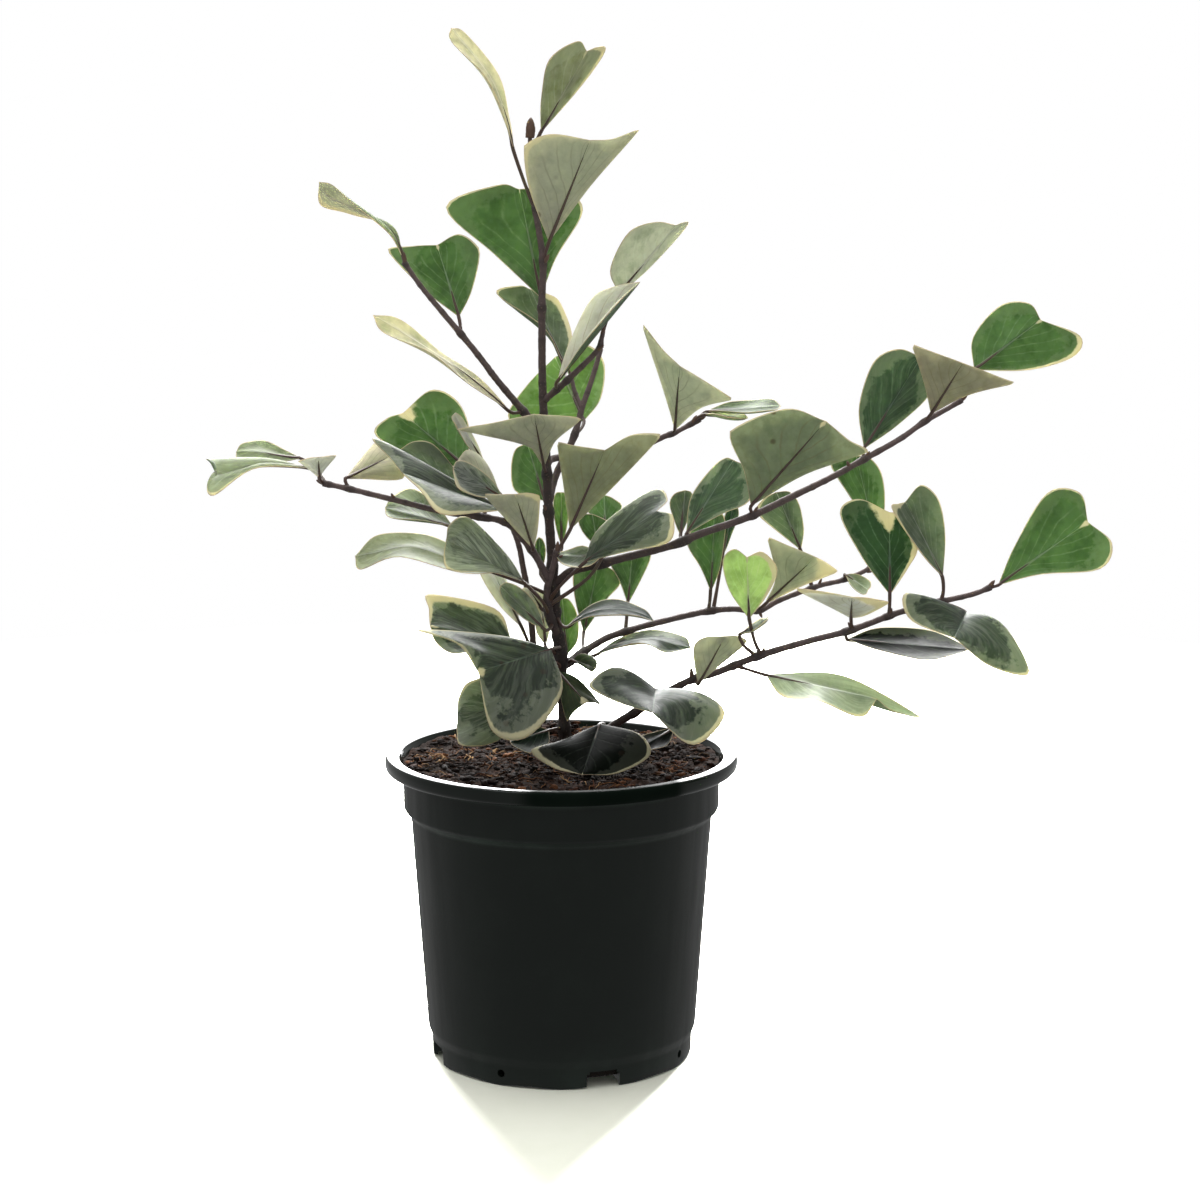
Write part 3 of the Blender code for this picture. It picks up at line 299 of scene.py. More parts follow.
LEFT_STEM = Stem(
    "left_stem", 1.7, 1.0,
    ((541, 752, -10), (536, 690, -12), (533, 640, -10), (529, 600, -5), (523, 567, 3), (519, 546, 9),
     (511, 524, 14), (503, 508, 18)),
    (
        Leaf("front_variegated", (506, 514), (504, 498, 33), (453, 468, 46),
             ((478, 497), (459, 488, 54), (454, 477)), ((492, 480), (468, 462, 38), (457, 461)), "dark",
             (0.35, 0.063, 0.072), 0.3),
        Leaf("mid_pale", (507, 516), (500, 495, 24), (459, 458, 28), ((478, 480), (462, 470, 34), (457, 464)),
             ((492, 474), (480, 455, 16), (467, 450)), "stone", under=True),
        Leaf("strip", (504, 510), (484, 462, 14), (454, 414, 19), ((470, 448), (457, 428, 25), (452, 418)),
             ((476, 440), (464, 421, 12), (457, 413)), "pearl", (0.054, 0.054, 0.054), 0.2),
        Leaf("hanging_pale", (534, 654), (521, 627, -8), (492, 572, -4),
             ((500, 606), (480, 573, 2), (486, 571)), ((514, 604), (506, 580, -10), (500, 574)), "pearl",
             under=True),
    ),
    buds=(((504, 508, 18), (500, 500, 19), 1.1),),
)

UPPER_RIGHT = Stem(
    "upper_right_branch", 1.9, 1.0,
    ((554, 585, 3), (572, 571, 6), (600, 564, 11), (623, 558, 15), (673, 545, 19), (700, 534, 21),
     (751, 516, 22), (791, 497, 21), (830, 478, 19), (868, 457, 17), (900, 439, 15), (924, 422, 13),
     (945, 410, 11), (962, 400, 10)),
    (
        Leaf("rear_low", (598, 564), (598, 548, -4), (592, 514, -8), ((584, 534), (578, 519, -4), (583, 514)),
             ((606, 540), (609, 524, -12), (602, 518)), "vivid"),
        Leaf("rear_high", (606, 562), (606, 534, -16), (604, 495, -32),
             ((596, 520), (587, 510, -24), (595, 501)), ((615, 522), (622, 506, -36), (613, 498)), "vivid"),
        Leaf("upright", (686, 539), (686, 534, 20), (734, 460, 8), ((691, 498), (714, 465, 2), (726, 458)),
             ((722, 514), (750, 499, 24), (750, 470)), "deep", (0.063, 0.054, 0.054), 0.08),
        Leaf("upright_rear", (680, 542), (681, 536, 14), (685, 490, 0),
             ((675, 523), (670, 505, 6), (674, 494)), ((688, 520), (693, 505, -6), (692, 493)), "grey"),
        Leaf("great_triangle", (753, 515), (751, 506, 24), (826, 421, 42),
             ((744, 471), (730, 431, 32), (786, 409)), ((806, 474), (868, 452, 46), (848, 439)), "olive",
             (0.045, 0.054, 0.14), flecks=0.8, under=True, pointed=0.4),
        Leaf("oval", (864, 459), (864, 449, 16), (921, 357, -2), ((859, 405), (873, 363, 8), (898, 349)),
             ((899, 424), (929, 396, -12), (928, 373)), "deep", (0.045, 0.045, 0.045), 0.05),
        Leaf("pennant", (924, 422), (931, 414, 15), (963, 363, 32), ((924, 382), (911, 344, 28), (937, 353)),
             ((968, 395), (1017, 383, 38), (990, 373)), "blush", (0.045, 0.045, 0.036), under=True,
             pointed=1.0),
        Leaf("tip", (960, 401), (974, 370, 8), (1041, 320, 2), ((973, 337), (1000, 306, -6), (1029, 303)),
             ((1030, 370), (1074, 356, 6), (1080, 336)), "vivid", (0.045, 0.14, 0.14)),
    ),
    buds=(((753, 515, 22), (758, 506, 23), 1.2), ((864, 459, 17), (870, 451, 18), 1.1),
          ((850, 468, 18), (847, 461, 19), 1.2), ((961, 401, 10), (968, 394, 10), 1.1)),
)

MIDDLE_RIGHT = Stem(
    "middle_right_branch", 1.6, 1.0,
    ((562, 668, 1), (588, 649, -9), (609, 637, -16), (629, 630.5, -21), (653.5, 623.5, -26), (703, 612, -36),
     (732, 609, -40), (759, 610.5, -43), (780, 600, -46), (818, 586, -50), (843, 580, -53), (866, 570, -56),
     (880, 556, -58)),
    (
        Leaf("low_curl", (570, 662), (572, 661, 4), (596, 669, 18), ((582, 666), (588, 670, 21), (592, 672)),
             ((580, 654), (590, 655, 8), (597, 662)), "shade", (0.054, 0.054, 0.14), under=True),
        Leaf("bright_low", (583, 651), (584, 633, -24), (598, 564, -36),
             ((575, 598), (573, 574, -28), (584, 565)), ((606, 600), (621, 583, -42), (613, 570)), "vivid",
             (0.054, 0.054, 0.054)),
        Leaf("cream_rib", (625, 631), (628, 604, -27), (632, 553, -38),
             ((620, 582), (610, 562, -30), (620, 556)), ((641, 580), (651, 555, -46), (642, 551)), "vivid",
             (0.063, 0.063, 0.063)),
        Leaf("wavy", (578, 656), (594, 655, -10), (691, 648, -10), ((618, 639), (655, 630, -24), (684, 636)),
             ((618, 647), (645, 644, 4), (667, 652)), "dark", (0.054, 0.12, 0.045), 0.1, 0.5, arched=0.9),
        Leaf("hanging", (708, 611), (711, 592, -38), (714, 512, -44),
             ((700, 566), (687, 541, -32), (699, 519)), ((721, 565), (725, 530, -52), (722, 513)), "vivid",
             (0.054, 0.054, 0.045)),
        Leaf("dark_strip", (713, 611), (723, 556, -50), (733, 504, -66),
             ((722, 535), (725, 516, -56), (729, 505)), ((730, 540), (737, 521, -70), (738, 508)), "deep"),
        Leaf("patched", (757, 610), (764, 605, -41), (816, 557, -30),
             ((776, 576), (767, 537, -34), (790, 546)), ((800, 587), (838, 572, -24), (829, 564)), "stone",
             (0.054, 0.6, 0.045), flecks=0.2, under=True, pointed=0.8),
        Leaf("curl", (846, 579), (845, 574, -50), (868, 590, -44), ((852, 586), (862, 594, -36), (866, 594)),
             ((858, 574), (869, 580, -52), (871, 586)), "mist"),
        Leaf("rear_broad", (812, 588), (801, 550, -52), (776, 492, -52),
             ((778, 532), (757, 512, -44), (763, 499)), ((804, 528), (800, 507, -62), (790, 492)), "grey",
             (0.154, 0.045, 0.045)),
        Leaf("rear_end", (880, 556), (877, 545, -58), (856, 456, -56),
             ((852, 500), (831, 464, -46), (842, 457)), ((884, 512), (882, 474, -66), (869, 457)), "vivid",
             (0.072, 0.054, 0.045)),
    ),
    buds=(((866, 571, -56), (872, 572, -56), 1.1), ((759, 610, -43), (762, 618, -42), 1.1),
          ((818, 586, -50), (822, 578, -50), 1.0)),
)

LOW_RIGHT = Stem(
    "low_right_branch", 2.0, 1.1,
    ((588, 757, -10), (600, 738, -10), (617, 723, -9), (636, 712, -6), (669, 691, 0), (694, 679, 4),
     (718, 672, 7), (761, 655, 12), (809, 641, 16), (851, 630, 18), (897, 613, 19), (935, 603, 20),
     (973, 594, 20), (991, 587, 20)),
    (
        # This leaf and the next lie in deep shade over the soil, and their near-black tone is painted shade
        Leaf("over_soil", (606, 732), (600, 724, 10), (582, 775, 42),
             ((562, 740), (531, 751, 34), (552, 767)), ((640, 734), (650, 756, 32), (618, 773)), "shaded_black",
             (0.2, 0.1, 0.063), flecks=0.2, cup=-1.5),
        Leaf("over_soil_small", (648, 705), (675, 727, 4), (637, 750, 22),
             ((660, 730), (642, 736, 6), (636, 743)), ((668, 744), (652, 750, 26), (642, 753)), "shaded_black",
             (0.054, 0.054, 0.054)),
        Leaf("front_wide", (634, 713), (656, 689, 8), (652, 713, 46),
             ((616, 667), (589, 684, 34), (608, 699)), ((701, 694), (725, 715, 42), (692, 745)), "dark",
             (0.07, 0.1, 0.08), 0.09, cup=-3.0),
        Leaf("small_fan", (696, 678), (698, 684, 9), (725, 636, 14), ((694, 662), (694, 645, 18), (706, 637)),
             ((720, 665), (746, 643, 10), (738, 636)), "stone", (0.063, 0.063, 0.063), under=True),
        Leaf("bright_heart", (761, 655), (749, 619, 22), (747, 557, 18),
             ((729, 590), (723, 560, 14), (734, 549)), ((766, 597), (777, 570, 24), (763, 552)), "glow",
             (0.054, 0.3, 0.14)),
        Leaf("sliver", (757, 656), (739, 634, 15), (768, 618, 20), ((748, 627), (760, 619, 10), (766, 617)),
             ((752, 631), (761, 624, 28), (767, 620)), "grey", (0.14, 0.14, 0.14), 0.15),
        Leaf("silver_low", (735, 667), (765, 674, 18), (877, 699, 30),
             ((845, 675), (920, 717, 8), (895, 711)), ((783, 698), (818, 700, 40), (860, 718)), "mist",
             (0.063, 0.3, 0.12), 0.3),
        Leaf("cream_patch", (852, 630), (851, 618, 24), (852, 597, 46),
             ((826, 604), (794, 589, 50), (822, 591)), ((868, 614), (890, 603, 44), (872, 598)), "pearl",
             (0.2, 0.55, 0.063), under=True, pointed=0.6),
        Leaf("cream_notch", (889, 616), (890, 595, 20), (889, 512, 4),
             ((861, 556), (840, 513, 8), (858, 499)), ((908, 568), (918, 546, 8), (904, 516)), "deep",
             (0.054, 0.3, 0.42)),
        Leaf("folded", (941, 602), (943, 577, 20), (905, 502, 12), ((920, 552), (893, 509, 34), (898, 504)),
             ((945, 538), (938, 498, -2), (921, 485)), "grey", (0.3, 0.045, 0.054)),
        Leaf("end_heart", (990, 588), (998, 585, 20), (1088, 522, 14),
             ((1016, 543), (1047, 493, 8), (1080, 493)), ((1042, 574), (1100, 569, 24), (1112, 543)), "vivid",
             (0.054, 0.063, 0.168)),
        Leaf("drooping", (938, 603), (966, 612, 18), (954, 638, 50), ((937, 602), (905, 593, 40), (910, 620)),
             ((1004, 625), (1029, 674, 44), (990, 666)), "dark", (0.08, 0.07, 0.07), 0.1, cup=-3.0),
        # This leaf's near-black tone is painted shade
        Leaf("below_branch", (846, 632), (847, 639, 18), (968, 650, 16),
             ((880, 627), (925, 630, -2), (957, 641)), ((880, 651), (925, 659, 34), (955, 655)), "shaded_black",
             (0.04, 0.05, 0.045)),
    ),
    buds=(((692, 680, 4), (691, 667, 5), 1.5), ((889, 616, 19), (892, 608, 20), 1.3),
          ((853, 630, 18), (848, 622, 19), 1.3), ((988, 588, 20), (995, 580, 20), 1.5),
          ((761, 655, 12), (765, 647, 13), 1.2)),
)

STEMS = (
    MAIN_STEM, FRONT_SHOOT, UPPER_LEFT, UPPER_RIGHT_SHOOT, BACK_SHOOT, RIGHT_BACK, LEFT_BRANCH, LEFT_STEM,
    UPPER_RIGHT, MIDDLE_RIGHT, LOW_RIGHT,
)
ROOTED = (MAIN_STEM, LEFT_STEM, LOW_RIGHT)

# The tones of the leaves, as display colours. The near-black tone is painted shade, for leaves that lie in
# deep shade.
TONES = {
    "shaded_black": (15, 21, 15),
    "dark": (30, 46, 33),
    "deep": (62, 84, 64),
    "shade": (76, 86, 66),
    "vivid": (90, 116, 78),
    "bright": (114, 142, 88),
    "glow": (204, 228, 158),
    "grey": (112, 122, 106),
    "mist": (146, 150, 138),
    "silver": (226, 220, 216),
    "pearl": (240, 232, 230),
    "leafback": (104, 122, 90),
    "olive": (142, 148, 126),
    "moss": (158, 156, 134),
    "stone": (198, 194, 178),
    "sand": (218, 206, 188),
    "beige": (242, 234, 224),
    "pale": (222, 218, 202),
    "blush": (178, 168, 150),
}

# The pot. LIP_SECTION is how far inward from the lip's edge and down from its top each point lies.
LIP_RADIUS = 76.0 * MM
LIP_INNER_RADIUS = 70.0 * MM
POT_HEIGHT = 132.0 * MM
LIP_HEIGHT = 6.0 * MM
LIP_ROOT = 1.5 * MM
COLLAR_RADIUS = 68.1 * MM
COLLAR_LOW_RADIUS = 67.9 * MM
COLLAR_BOTTOM = 109.5 * MM
COLLAR_CHAMFER = 1.2 * MM
BODY_TOP_RADIUS = 64.9 * MM
BODY_TOP = 106.5 * MM
BODY_LOW_RADIUS = 58.2 * MM
BODY_LOW = 13.0 * MM
FOOT_RADIUS = 56.7 * MM
FOOT_LOW_RADIUS = 56.3 * MM
FOOT_TOP = 9.0 * MM
WALL = 1.5 * MM
FLOOR_UNDERSIDE = 2.0 * MM
FLOOR_THICKNESS = 1.6 * MM
FLOOR_CORNER = 4.0 * MM
POT_STEPS = 192
LIP_SECTION = (
    (1.4 * MM, -0.3 * MM),
    (0.4 * MM, 0.5 * MM),
    (0.0, 2.0 * MM),
    (0.3 * MM, 4.7 * MM),
    (1.4 * MM, 6.0 * MM),
)
CORNER_ROUND = 0.9 * MM
CORNER_CUTS = 4
SCALLOPS = 12
SCALLOP_DEPTH = 0.9 * MM
SLOT_COUNT = 4
FIRST_SLOT_DEG = 18.0
SLOT_WIDTH = 14.5 * MM
SLOT_HEIGHT = 7.5 * MM
SLOT_DEPTH = 16.0 * MM
SLOT_INWARD = 4.0 * MM
DRAIN_HOLE_RADIUS = 1.7 * MM
DRAIN_HOLE_HEIGHT = 5.5 * MM
DRAIN_HOLE_SIDES = 24
SLOT_CORNER = 1.2 * MM
SCALLOP_TOP = 1.5 * MM
SHARP_DEG = 38.0
# Where the dull front of the lip fades, in x at its left and right ends and in y towards the back
SCUFF_LEFT = (-24.0 * MM, -8.0 * MM)
SCUFF_RIGHT = (46.0 * MM, 54.0 * MM)
SCUFF_BACK = (-30.0 * MM, 0.0)

# Soil
GAP = 0.3 * MM
SOIL_LEVEL = 127.6 * MM
SOIL_MOUND = 1.6 * MM
SOIL_BANK = 1.9 * MM
SOIL_TOP_RADIUS = 68.0 * MM
SOIL_RINGS = 70
SOIL_STEPS = 168
SOIL_SEED = 7
# Lumps by the scale of their noise and their height in millimetres
SOIL_LUMPS = ((60, 2.0), (190, 1.1), (520, 0.6))

# Loose crumbs and fibres on the soil, in millimetres. The heap is given by the middle and the
# spread of its x and its y.
CRUMB_SIZES = (0.22, 0.28, 0.35, 0.45, 0.55, 0.7, 1.0, 1.7)
CRUMB_SQUASH = ((0.6, 2.2), (0.4, 1.0), (0.35, 0.9))
FINE_CRUMB = 1.0
CRUMBS_PER_HEAP_CRUMB = 12
HEAP = ((-3, 5), (55, 3))
HEAP_HEIGHT = 5.0
FIBRE_LENGTHS = (4.0, 16.0)
FIBRE_RADII = (0.12, 0.3)
FIBRE_LIFTS = (0.2, 1.4)
FIBRE_CUTS = 7
FIBRE_SIDES = 5
LITTER_TONES = (
    (16, 11, 9), (20, 14, 11), (26, 18, 14), (34, 22, 17), (52, 32, 23), (82, 48, 32), (128, 84, 56),
)
FIBRE_TONES = ((130, 90, 58), (92, 56, 36), (48, 30, 22), (176, 140, 100))

# Stems and leaves
BURIED_LENGTH = 13.0 * MM
STEM_STEP = 1.4 * MM
STEM_SIDES = 12
STALK_SIDES = 8
STALK_RADIUS = 0.8 * MM
# A stalk bows by a share of its length at this share of its way
BEND_AT = 0.55
BEND = 0.12
NODE_SWELL = 0.34
NODE_WIDTH = 2.0 * MM
SCAR_SWELL = 0.08
OLD_RADIUS = 2.1
BARK_ROUGHNESS = 0.12 * MM
ROUGH_SCALE = 900
HALF_COLUMNS = (0.0, 0.05, 0.13, 0.23, 0.34, 0.46, 0.58, 0.7, 0.81, 0.9, 0.96, 1.0)
LEAF_ROWS = 30
LEAST_ROWS = 12
FULL_LEAF = 40.0 * MM
EDGE_SHARE = 0.4
EDGE_WAVES = 11.0
# The raised midrib, by its place along the blade and its radius in millimetres there
RIB_START = 0.12
RIB_RADII = ((0.12, 0.72), (0.3, 0.6), (0.5, 0.46), (0.68, 0.32), (0.84, 0.15))
RIB_DROP = 0.3 * MM
BUD_RINGS = 12
BUD_SIDES = 12
STALK_TONE = (78, 56, 48)
BARK_TONE = (56, 44, 40)
BUD_TONE = (84, 62, 44)
PLAIN = (0.0, 0.0, 0.0)
UPPER, UNDER, RIM, STALK, BARK, BUD = range(6)
# What the photograph doesn't show: the tones and painted sheen of the far side of each blade
HIDDEN_UPPER = "deep"
HIDDEN_UNDER = "leafback"
HIDDEN_SHEEN = 0.1
PALE_BOTH_SIDES = ("crown_upright", "left_silver", "narrow")

# A blade's third painted value holds its seed, below SEED_ROOM, and its flecks in whole steps of it
SEED_ROOM = 10.0
FLECK_STEPS = 10.0


class Panel(NamedTuple):
    """A soft light panel: where it is, what it faces, its width and height, and its share of a power."""

    name: str
    place: tuple
    aim: tuple
    size: tuple
    setting: str
    share: float = 1.0


# The stage, in metres
WHITE = (1.0, 1.0, 1.0)
FLOOR_SIDES = 96
PANELS = (
    Panel("floor_left", (-0.25, 1.15, 0.5), (-0.25, 0.0, 0.1), (0.5, 0.9), "floor_power", 0.25),
    Panel("floor_right", (0.285, 1.15, 0.5), (0.285, 0.0, 0.1), (0.57, 0.9), "floor_power"),
    Panel("floor_front", (0.0, -0.5, 1.2), (0.0, -0.1, 0.0), (0.8, 0.8), "floor_power", 0.008),
    Panel("back_panel", (0.02, 1.15, 0.8), (0.0, 0.0, 0.15), (0.95, 1.5), "back_power"),
    Panel("top_panel", (-0.1, 0.15, 1.5), (0.0, 0.0, 0.2), (1.3, 1.1), "top_power"),
)


def linear(red, green, blue):
    """A display colour, 0 to 255 a channel, as scene linear values."""
    return tuple(((c / 255 + 0.055) / 1.055) ** 2.4 if c > 10 else c / 3294.6 for c in (red, green, blue))


def seen(point):
    """The place in space of a point that is read off the photograph, on the plane of its nearness."""
    x, y, nearness = point
    right = Vector((math.cos(EYE_RIGHT), -math.sin(EYE_RIGHT), 0.0))
    level = Vector((math.sin(EYE_RIGHT), math.cos(EYE_RIGHT), 0.0))
    ahead = level * math.cos(EYE_DOWN) - Vector((0.0, 0.0, math.sin(EYE_DOWN)))
    up = right.cross(ahead)
    ray = ahead * FOCAL_LENGTH + right * (x - PHOTO_CENTRE) - up * (y - PHOTO_CENTRE)
    return EYE + ray * ((-nearness * MM - EYE.y) / ray.y)


class Draft:
    """The points, faces and painted values of one piece, gathered before its mesh is made."""

    def __init__(self):
        self.points = []
        self.blade = []
        self.span = []
        self.tone = []
        self.faces = []
        self.slots = []

    def add_point(self, place, tone, blade=PLAIN, span=PLAIN):
        self.points.append(tuple(place))
        self.blade.append(blade)
        self.span.append(span)
        self.tone.append(tone)
        return len(self.points) - 1

    def add_face(self, corners, slot):
        self.faces.append(corners)
        self.slots.append(slot)

    def make(self, name, materials):
        mesh = bpy.data.meshes.new(name)
        mesh.from_pydata(self.points, [], self.faces)
        mesh.polygons.foreach_set("material_index", self.slots)
        mesh.polygons.foreach_set("use_smooth", [True] * len(self.faces))
        for key, kind, field, rows in (
            ("blade", "FLOAT_VECTOR", "vector", self.blade),
            ("span", "FLOAT_VECTOR", "vector", self.span),
            ("tone", "FLOAT_COLOR", "color", self.tone),
        ):
            layer = mesh.attributes.new(key, kind, "POINT")
            layer.data.foreach_set(field, [value for row in rows for value in row])
        for material in materials:
            mesh.materials.append(material)
        mesh.update()
        return link_new(name, mesh)


def link_new(name, data):
    """A new object in the scene, with its mesh, light or camera."""
    made = bpy.data.objects.new(name, data)
    bpy.context.scene.collection.objects.link(made)
    return made


def mesh_of(shape, name):
    """A mesh with a finished bmesh in it, which is freed."""
    mesh = bpy.data.meshes.new(name)
    shape.to_mesh(mesh)
    shape.free()
    return mesh


def settle(piece, slot, *nodes):
    """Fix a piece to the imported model, in place of the nodes that it stands for."""
    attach(piece, "root")
    if nodes:
        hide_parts(*nodes)


# Curves and tubes


def smooth_route(points, radii, step):
    """The route as a smooth curve through its points, in short steps, with a radius at each."""
    places, sizes = [], []
    last = len(points) - 1
    for i in range(last):
        before = points[max(i - 1, 0)]
        start, end = points[i], points[i + 1]
        after = points[min(i + 2, last)]
        leave = (end - before) / 2 if i else end - start
        reach = (after - start) / 2 if i < last - 1 else end - start
        cuts = max(1, round((end - start).length / step))
        for j in range(cuts):
            t = j / cuts
            bulge = leave * (t * (1 - t) ** 2) - reach * (t * t * (1 - t))
            places.append(start + (end - start) * (t * t * (3 - 2 * t)) + bulge)
            sizes.append(radii[i] + (radii[i + 1] - radii[i]) * t)
    return places + [points[-1]], sizes + [radii[-1]]


def add_tube(draft, places, sizes, sides, slot, tone, spans=None, rough=0.0, shape=None):
    """A capped tube through the places, in one tone, with a span painted on each ring."""
    across = None
    rings = []
    last = len(places) - 1
    spans = spans or [PLAIN] * len(places)
    tone = (*linear(*tone), 0.0)
    for i, place in enumerate(places):
        run = (places[min(i + 1, last)] - places[max(i - 1, 0)]).normalized()
        if across is None:
            across = run.orthogonal().normalized()
        across = (across - run * across.dot(run)).normalized()
        beside = run.cross(across)
        ring = []
        for k in range(sides):
            turn = 2 * math.pi * k / sides
            out = across * math.cos(turn) + beside * math.sin(turn)
            size = sizes[i] * (1.0 + (shape(i, turn) if shape else 0.0))
            bump = noise.noise((place + out * sizes[i]) * ROUGH_SCALE) * rough
            ring.append(draft.add_point(place + out * (size + bump), tone, span=spans[i]))
        rings.append(ring)
    for low, high in zip(rings, rings[1:]):
        for k in range(sides):
            n = (k + 1) % sides
            draft.add_face((low[k], low[n], high[n], high[k]), slot)
    for ring, end, flip in ((rings[0], 0, True), (rings[-1], last, False)):
        middle = draft.add_point(places[end], tone, span=spans[end])
        for k in range(sides):
            pair = (ring[k], ring[(k + 1) % sides])
            draft.add_face((pair[1], pair[0], middle) if flip else (*pair, middle), slot)


# Leaves


def halfway(one, other, place):
    """A place with its nearness, which lies halfway between those of two points."""
    return (*place, (one[2] + other[2]) / 2)


class Blade:
    """The surface of one leaf: two halves, each stretched from the midrib to its edge."""

    def __init__(self, leaf):
        self.leaf = leaf
        self.foot = seen(leaf.foot)
        self.apex = seen(leaf.apex)
        self.length = (self.apex - self.foot).length
        edges = [self.edge_points(leaf.left), self.edge_points(leaf.right)]
        normal = (edges[1][2] - edges[0][2]).cross(self.apex - self.foot).normalized()
        self.turned = (normal.dot(EYE - self.foot) < 0.0) != leaf.under
        if self.turned:
            edges.reverse()
            normal.negate()
        self.edges = edges
        self.normal = normal

    def edge_points(self, side):
        """The five places that one edge passes through."""
        leaf = self.leaf
        flank, corner, lobe = side
        return [
            self.foot,
            seen(halfway(leaf.foot, corner, flank)),
            seen(corner),
            seen(halfway(corner, leaf.apex, lobe)),
            self.apex,
        ]

    def edge(self, side, along):
        """The place on an edge at a share of the way from foot to apex."""
        points = self.edges[side]
        spans = len(points) - 1
        span = min(int(along * spans), spans - 1)
        share = along * spans - span
        start, end = points[span], points[span + 1]
        run = end - start
        leave = (end - points[span - 1]) / 2 if span else run
        reach = (points[span + 2] - start) / 2 if span < spans - 1 else run
        if span == 2:
            leave = leave.lerp(run, self.leaf.pointed)
        if span == 1:
            reach = reach.lerp(run, self.leaf.pointed)
        bulge = leave * (share * (1.0 - share) ** 2) - reach * (share ** 2 * (1.0 - share))
        return start + run * (share ** 2 * (3.0 - 2.0 * share)) + bulge

    def rib(self, along):
        """The place on the midrib at a share of the way from foot to apex."""
        line = self.foot.lerp(self.apex, along)
        return line.lerp((self.edge(0, along) + self.edge(1, along)) / 2, self.leaf.arched)

    def row(self, along, columns, wave, phase):
        """The points of one row across the blade, with the edges gently waved."""
        rib = self.rib(along)
        ends = (self.edge(0, along), self.edge(1, along))
        middle = math.sin(math.pi * along)
        row = []
        for across in columns:
            share = abs(across)
            place = rib.lerp(ends[across > 0.0], share)
            sink = self.leaf.cup * 4.0 * share * (1.0 - share) * middle * MM
            turn = math.sin(EDGE_WAVES * along + phase * (1.0 if across > 0.0 else 2.3))
            ripple = turn * share ** 3 * middle * wave
            row.append(place - self.normal * (sink + ripple))
        return row


def cream_share(across, along, widths):
    """1 at a creamy edge, falling to 0 where the cream ends and below 0 inside."""
    left, right, tip = widths
    side = left if across < 0.0 else right
    from_side = 1.0 - (1.0 - abs(across)) / max(side, 0.01)
    from_tip = 1.0 - (1.0 - along + 0.12 * abs(across)) / max(tip, 0.01)
    return max(from_side, from_tip, -2.0)


def add_leaf(draft, leaf, settings, number):
    """One blade with its two faces, its rim, and its own cream, tone and sheen painted on its points."""
    blade = Blade(leaf)
    rng = random.Random(number)
    phase = rng.uniform(0.0, 6.3)
    seed = rng.uniform(0.0, 9.0)
    columns = [-c for c in reversed(HALF_COLUMNS[1:])] + list(HALF_COLUMNS)
    middle = len(HALF_COLUMNS) - 1
    size = min(1.0, blade.length / FULL_LEAF)
    rows = max(LEAST_ROWS, round(LEAF_ROWS * size))
    wave = settings.edge_wave * size
    left, right, tip = leaf.cream
    widths = (right, left, tip) if blade.turned else (left, right, tip)
    widths = [width * settings.cream_width for width in widths]
    # The rows lie closer together at both ends
    alongs = [0.5 * (i / rows) + 0.25 * (1.0 - math.cos(math.pi * i / rows)) for i in range(rows + 1)]
    grid = [blade.row(along, columns, wave, phase) for along in alongs]
    shades = [(*linear(*TONES[tone]), HIDDEN_SHEEN) for tone in (HIDDEN_UPPER, HIDDEN_UNDER)]
    if leaf.name in PALE_BOTH_SIDES:
        shades = [(*linear(*TONES[leaf.tone]), HIDDEN_SHEEN)] * 2
    shades[leaf.under] = (*linear(*TONES[leaf.tone]), leaf.sheen)
    packed = seed + SEED_ROOM * round(FLECK_STEPS * leaf.flecks)
    tops, bottoms = [], []
    for i, row in enumerate(grid):
        top, bottom = [], []
        ends = i in (0, rows)
        for j, place in enumerate(row[:1] if ends else row):
            if ends:
                normal = blade.normal
            else:
                over = row[min(j + 1, len(row) - 1)] - row[max(j - 1, 0)]
                normal = over.cross(grid[i + 1][j] - grid[i - 1][j]).normalized()
            across = 0.0 if ends else columns[j]
            rib_gap = 0.0 if ends else (place - row[middle]).length / MM
            edge_gap = 0.0 if ends else (place - row[-1 if across > 0.0 else 0]).length / MM
            half = settings.thickness / 2 * (EDGE_SHARE + (1.0 - EDGE_SHARE) * min(1.0, edge_gap))
            spot = (across, alongs[i], packed)
            span = (rib_gap, edge_gap, cream_share(across, alongs[i], widths))
            top.append(draft.add_point(place + normal * half, shades[0], spot, span))
            bottom.append(draft.add_point(place - normal * half, shades[1], spot, span))
        tops.append(top * (len(columns) if ends else 1))
        bottoms.append(bottom * (len(columns) if ends else 1))
    last = len(columns) - 1
    for top, bottom, next_top, next_bottom in zip(tops, bottoms, tops[1:], bottoms[1:]):
        for j in range(last):
            add_quad(draft, (top[j], top[j + 1], next_top[j + 1], next_top[j]), UPPER)
            add_quad(draft, (bottom[j], next_bottom[j], next_bottom[j + 1], bottom[j + 1]), UNDER)
        add_quad(draft, (top[0], next_top[0], next_bottom[0], bottom[0]), RIM)
        add_quad(draft, (top[last], bottom[last], next_bottom[last], next_top[last]), RIM)
    return blade


def add_quad(draft, corners, slot):
    """A face without its repeated corners."""
    kept = tuple(dict.fromkeys(corners))
    if len(kept) > 2:
        draft.add_face(kept, slot)


def add_stalk(draft, blade, root):
    """The leaf's stalk, running on under the blade as its raised midrib."""
    under = blade.normal * -RIB_DROP
    first = blade.rib(RIB_START)
    rise = (blade.foot - first).normalized() * ((blade.foot - root).length * BEND)
    guide = [root, root.lerp(blade.foot, BEND_AT) + rise, blade.foot + under]
    sizes = [STALK_RADIUS * 1.25, STALK_RADIUS * 0.9, STALK_RADIUS]
    for along, size in RIB_RADII:
        guide.append(blade.rib(along) + under)
        sizes.append(size * MM)
    places, radii = smooth_route(guide, sizes, STEM_STEP)
    add_tube(draft, places, radii, STALK_SIDES, STALK, STALK_TONE)


# Stems


def stem_radii(stem, count):
    """The radius at each point of the route, which thins evenly to the tip."""
    last = count - 1
    return [(stem.radius + (stem.tip_radius - stem.radius) * i / last) * MM for i in range(count)]


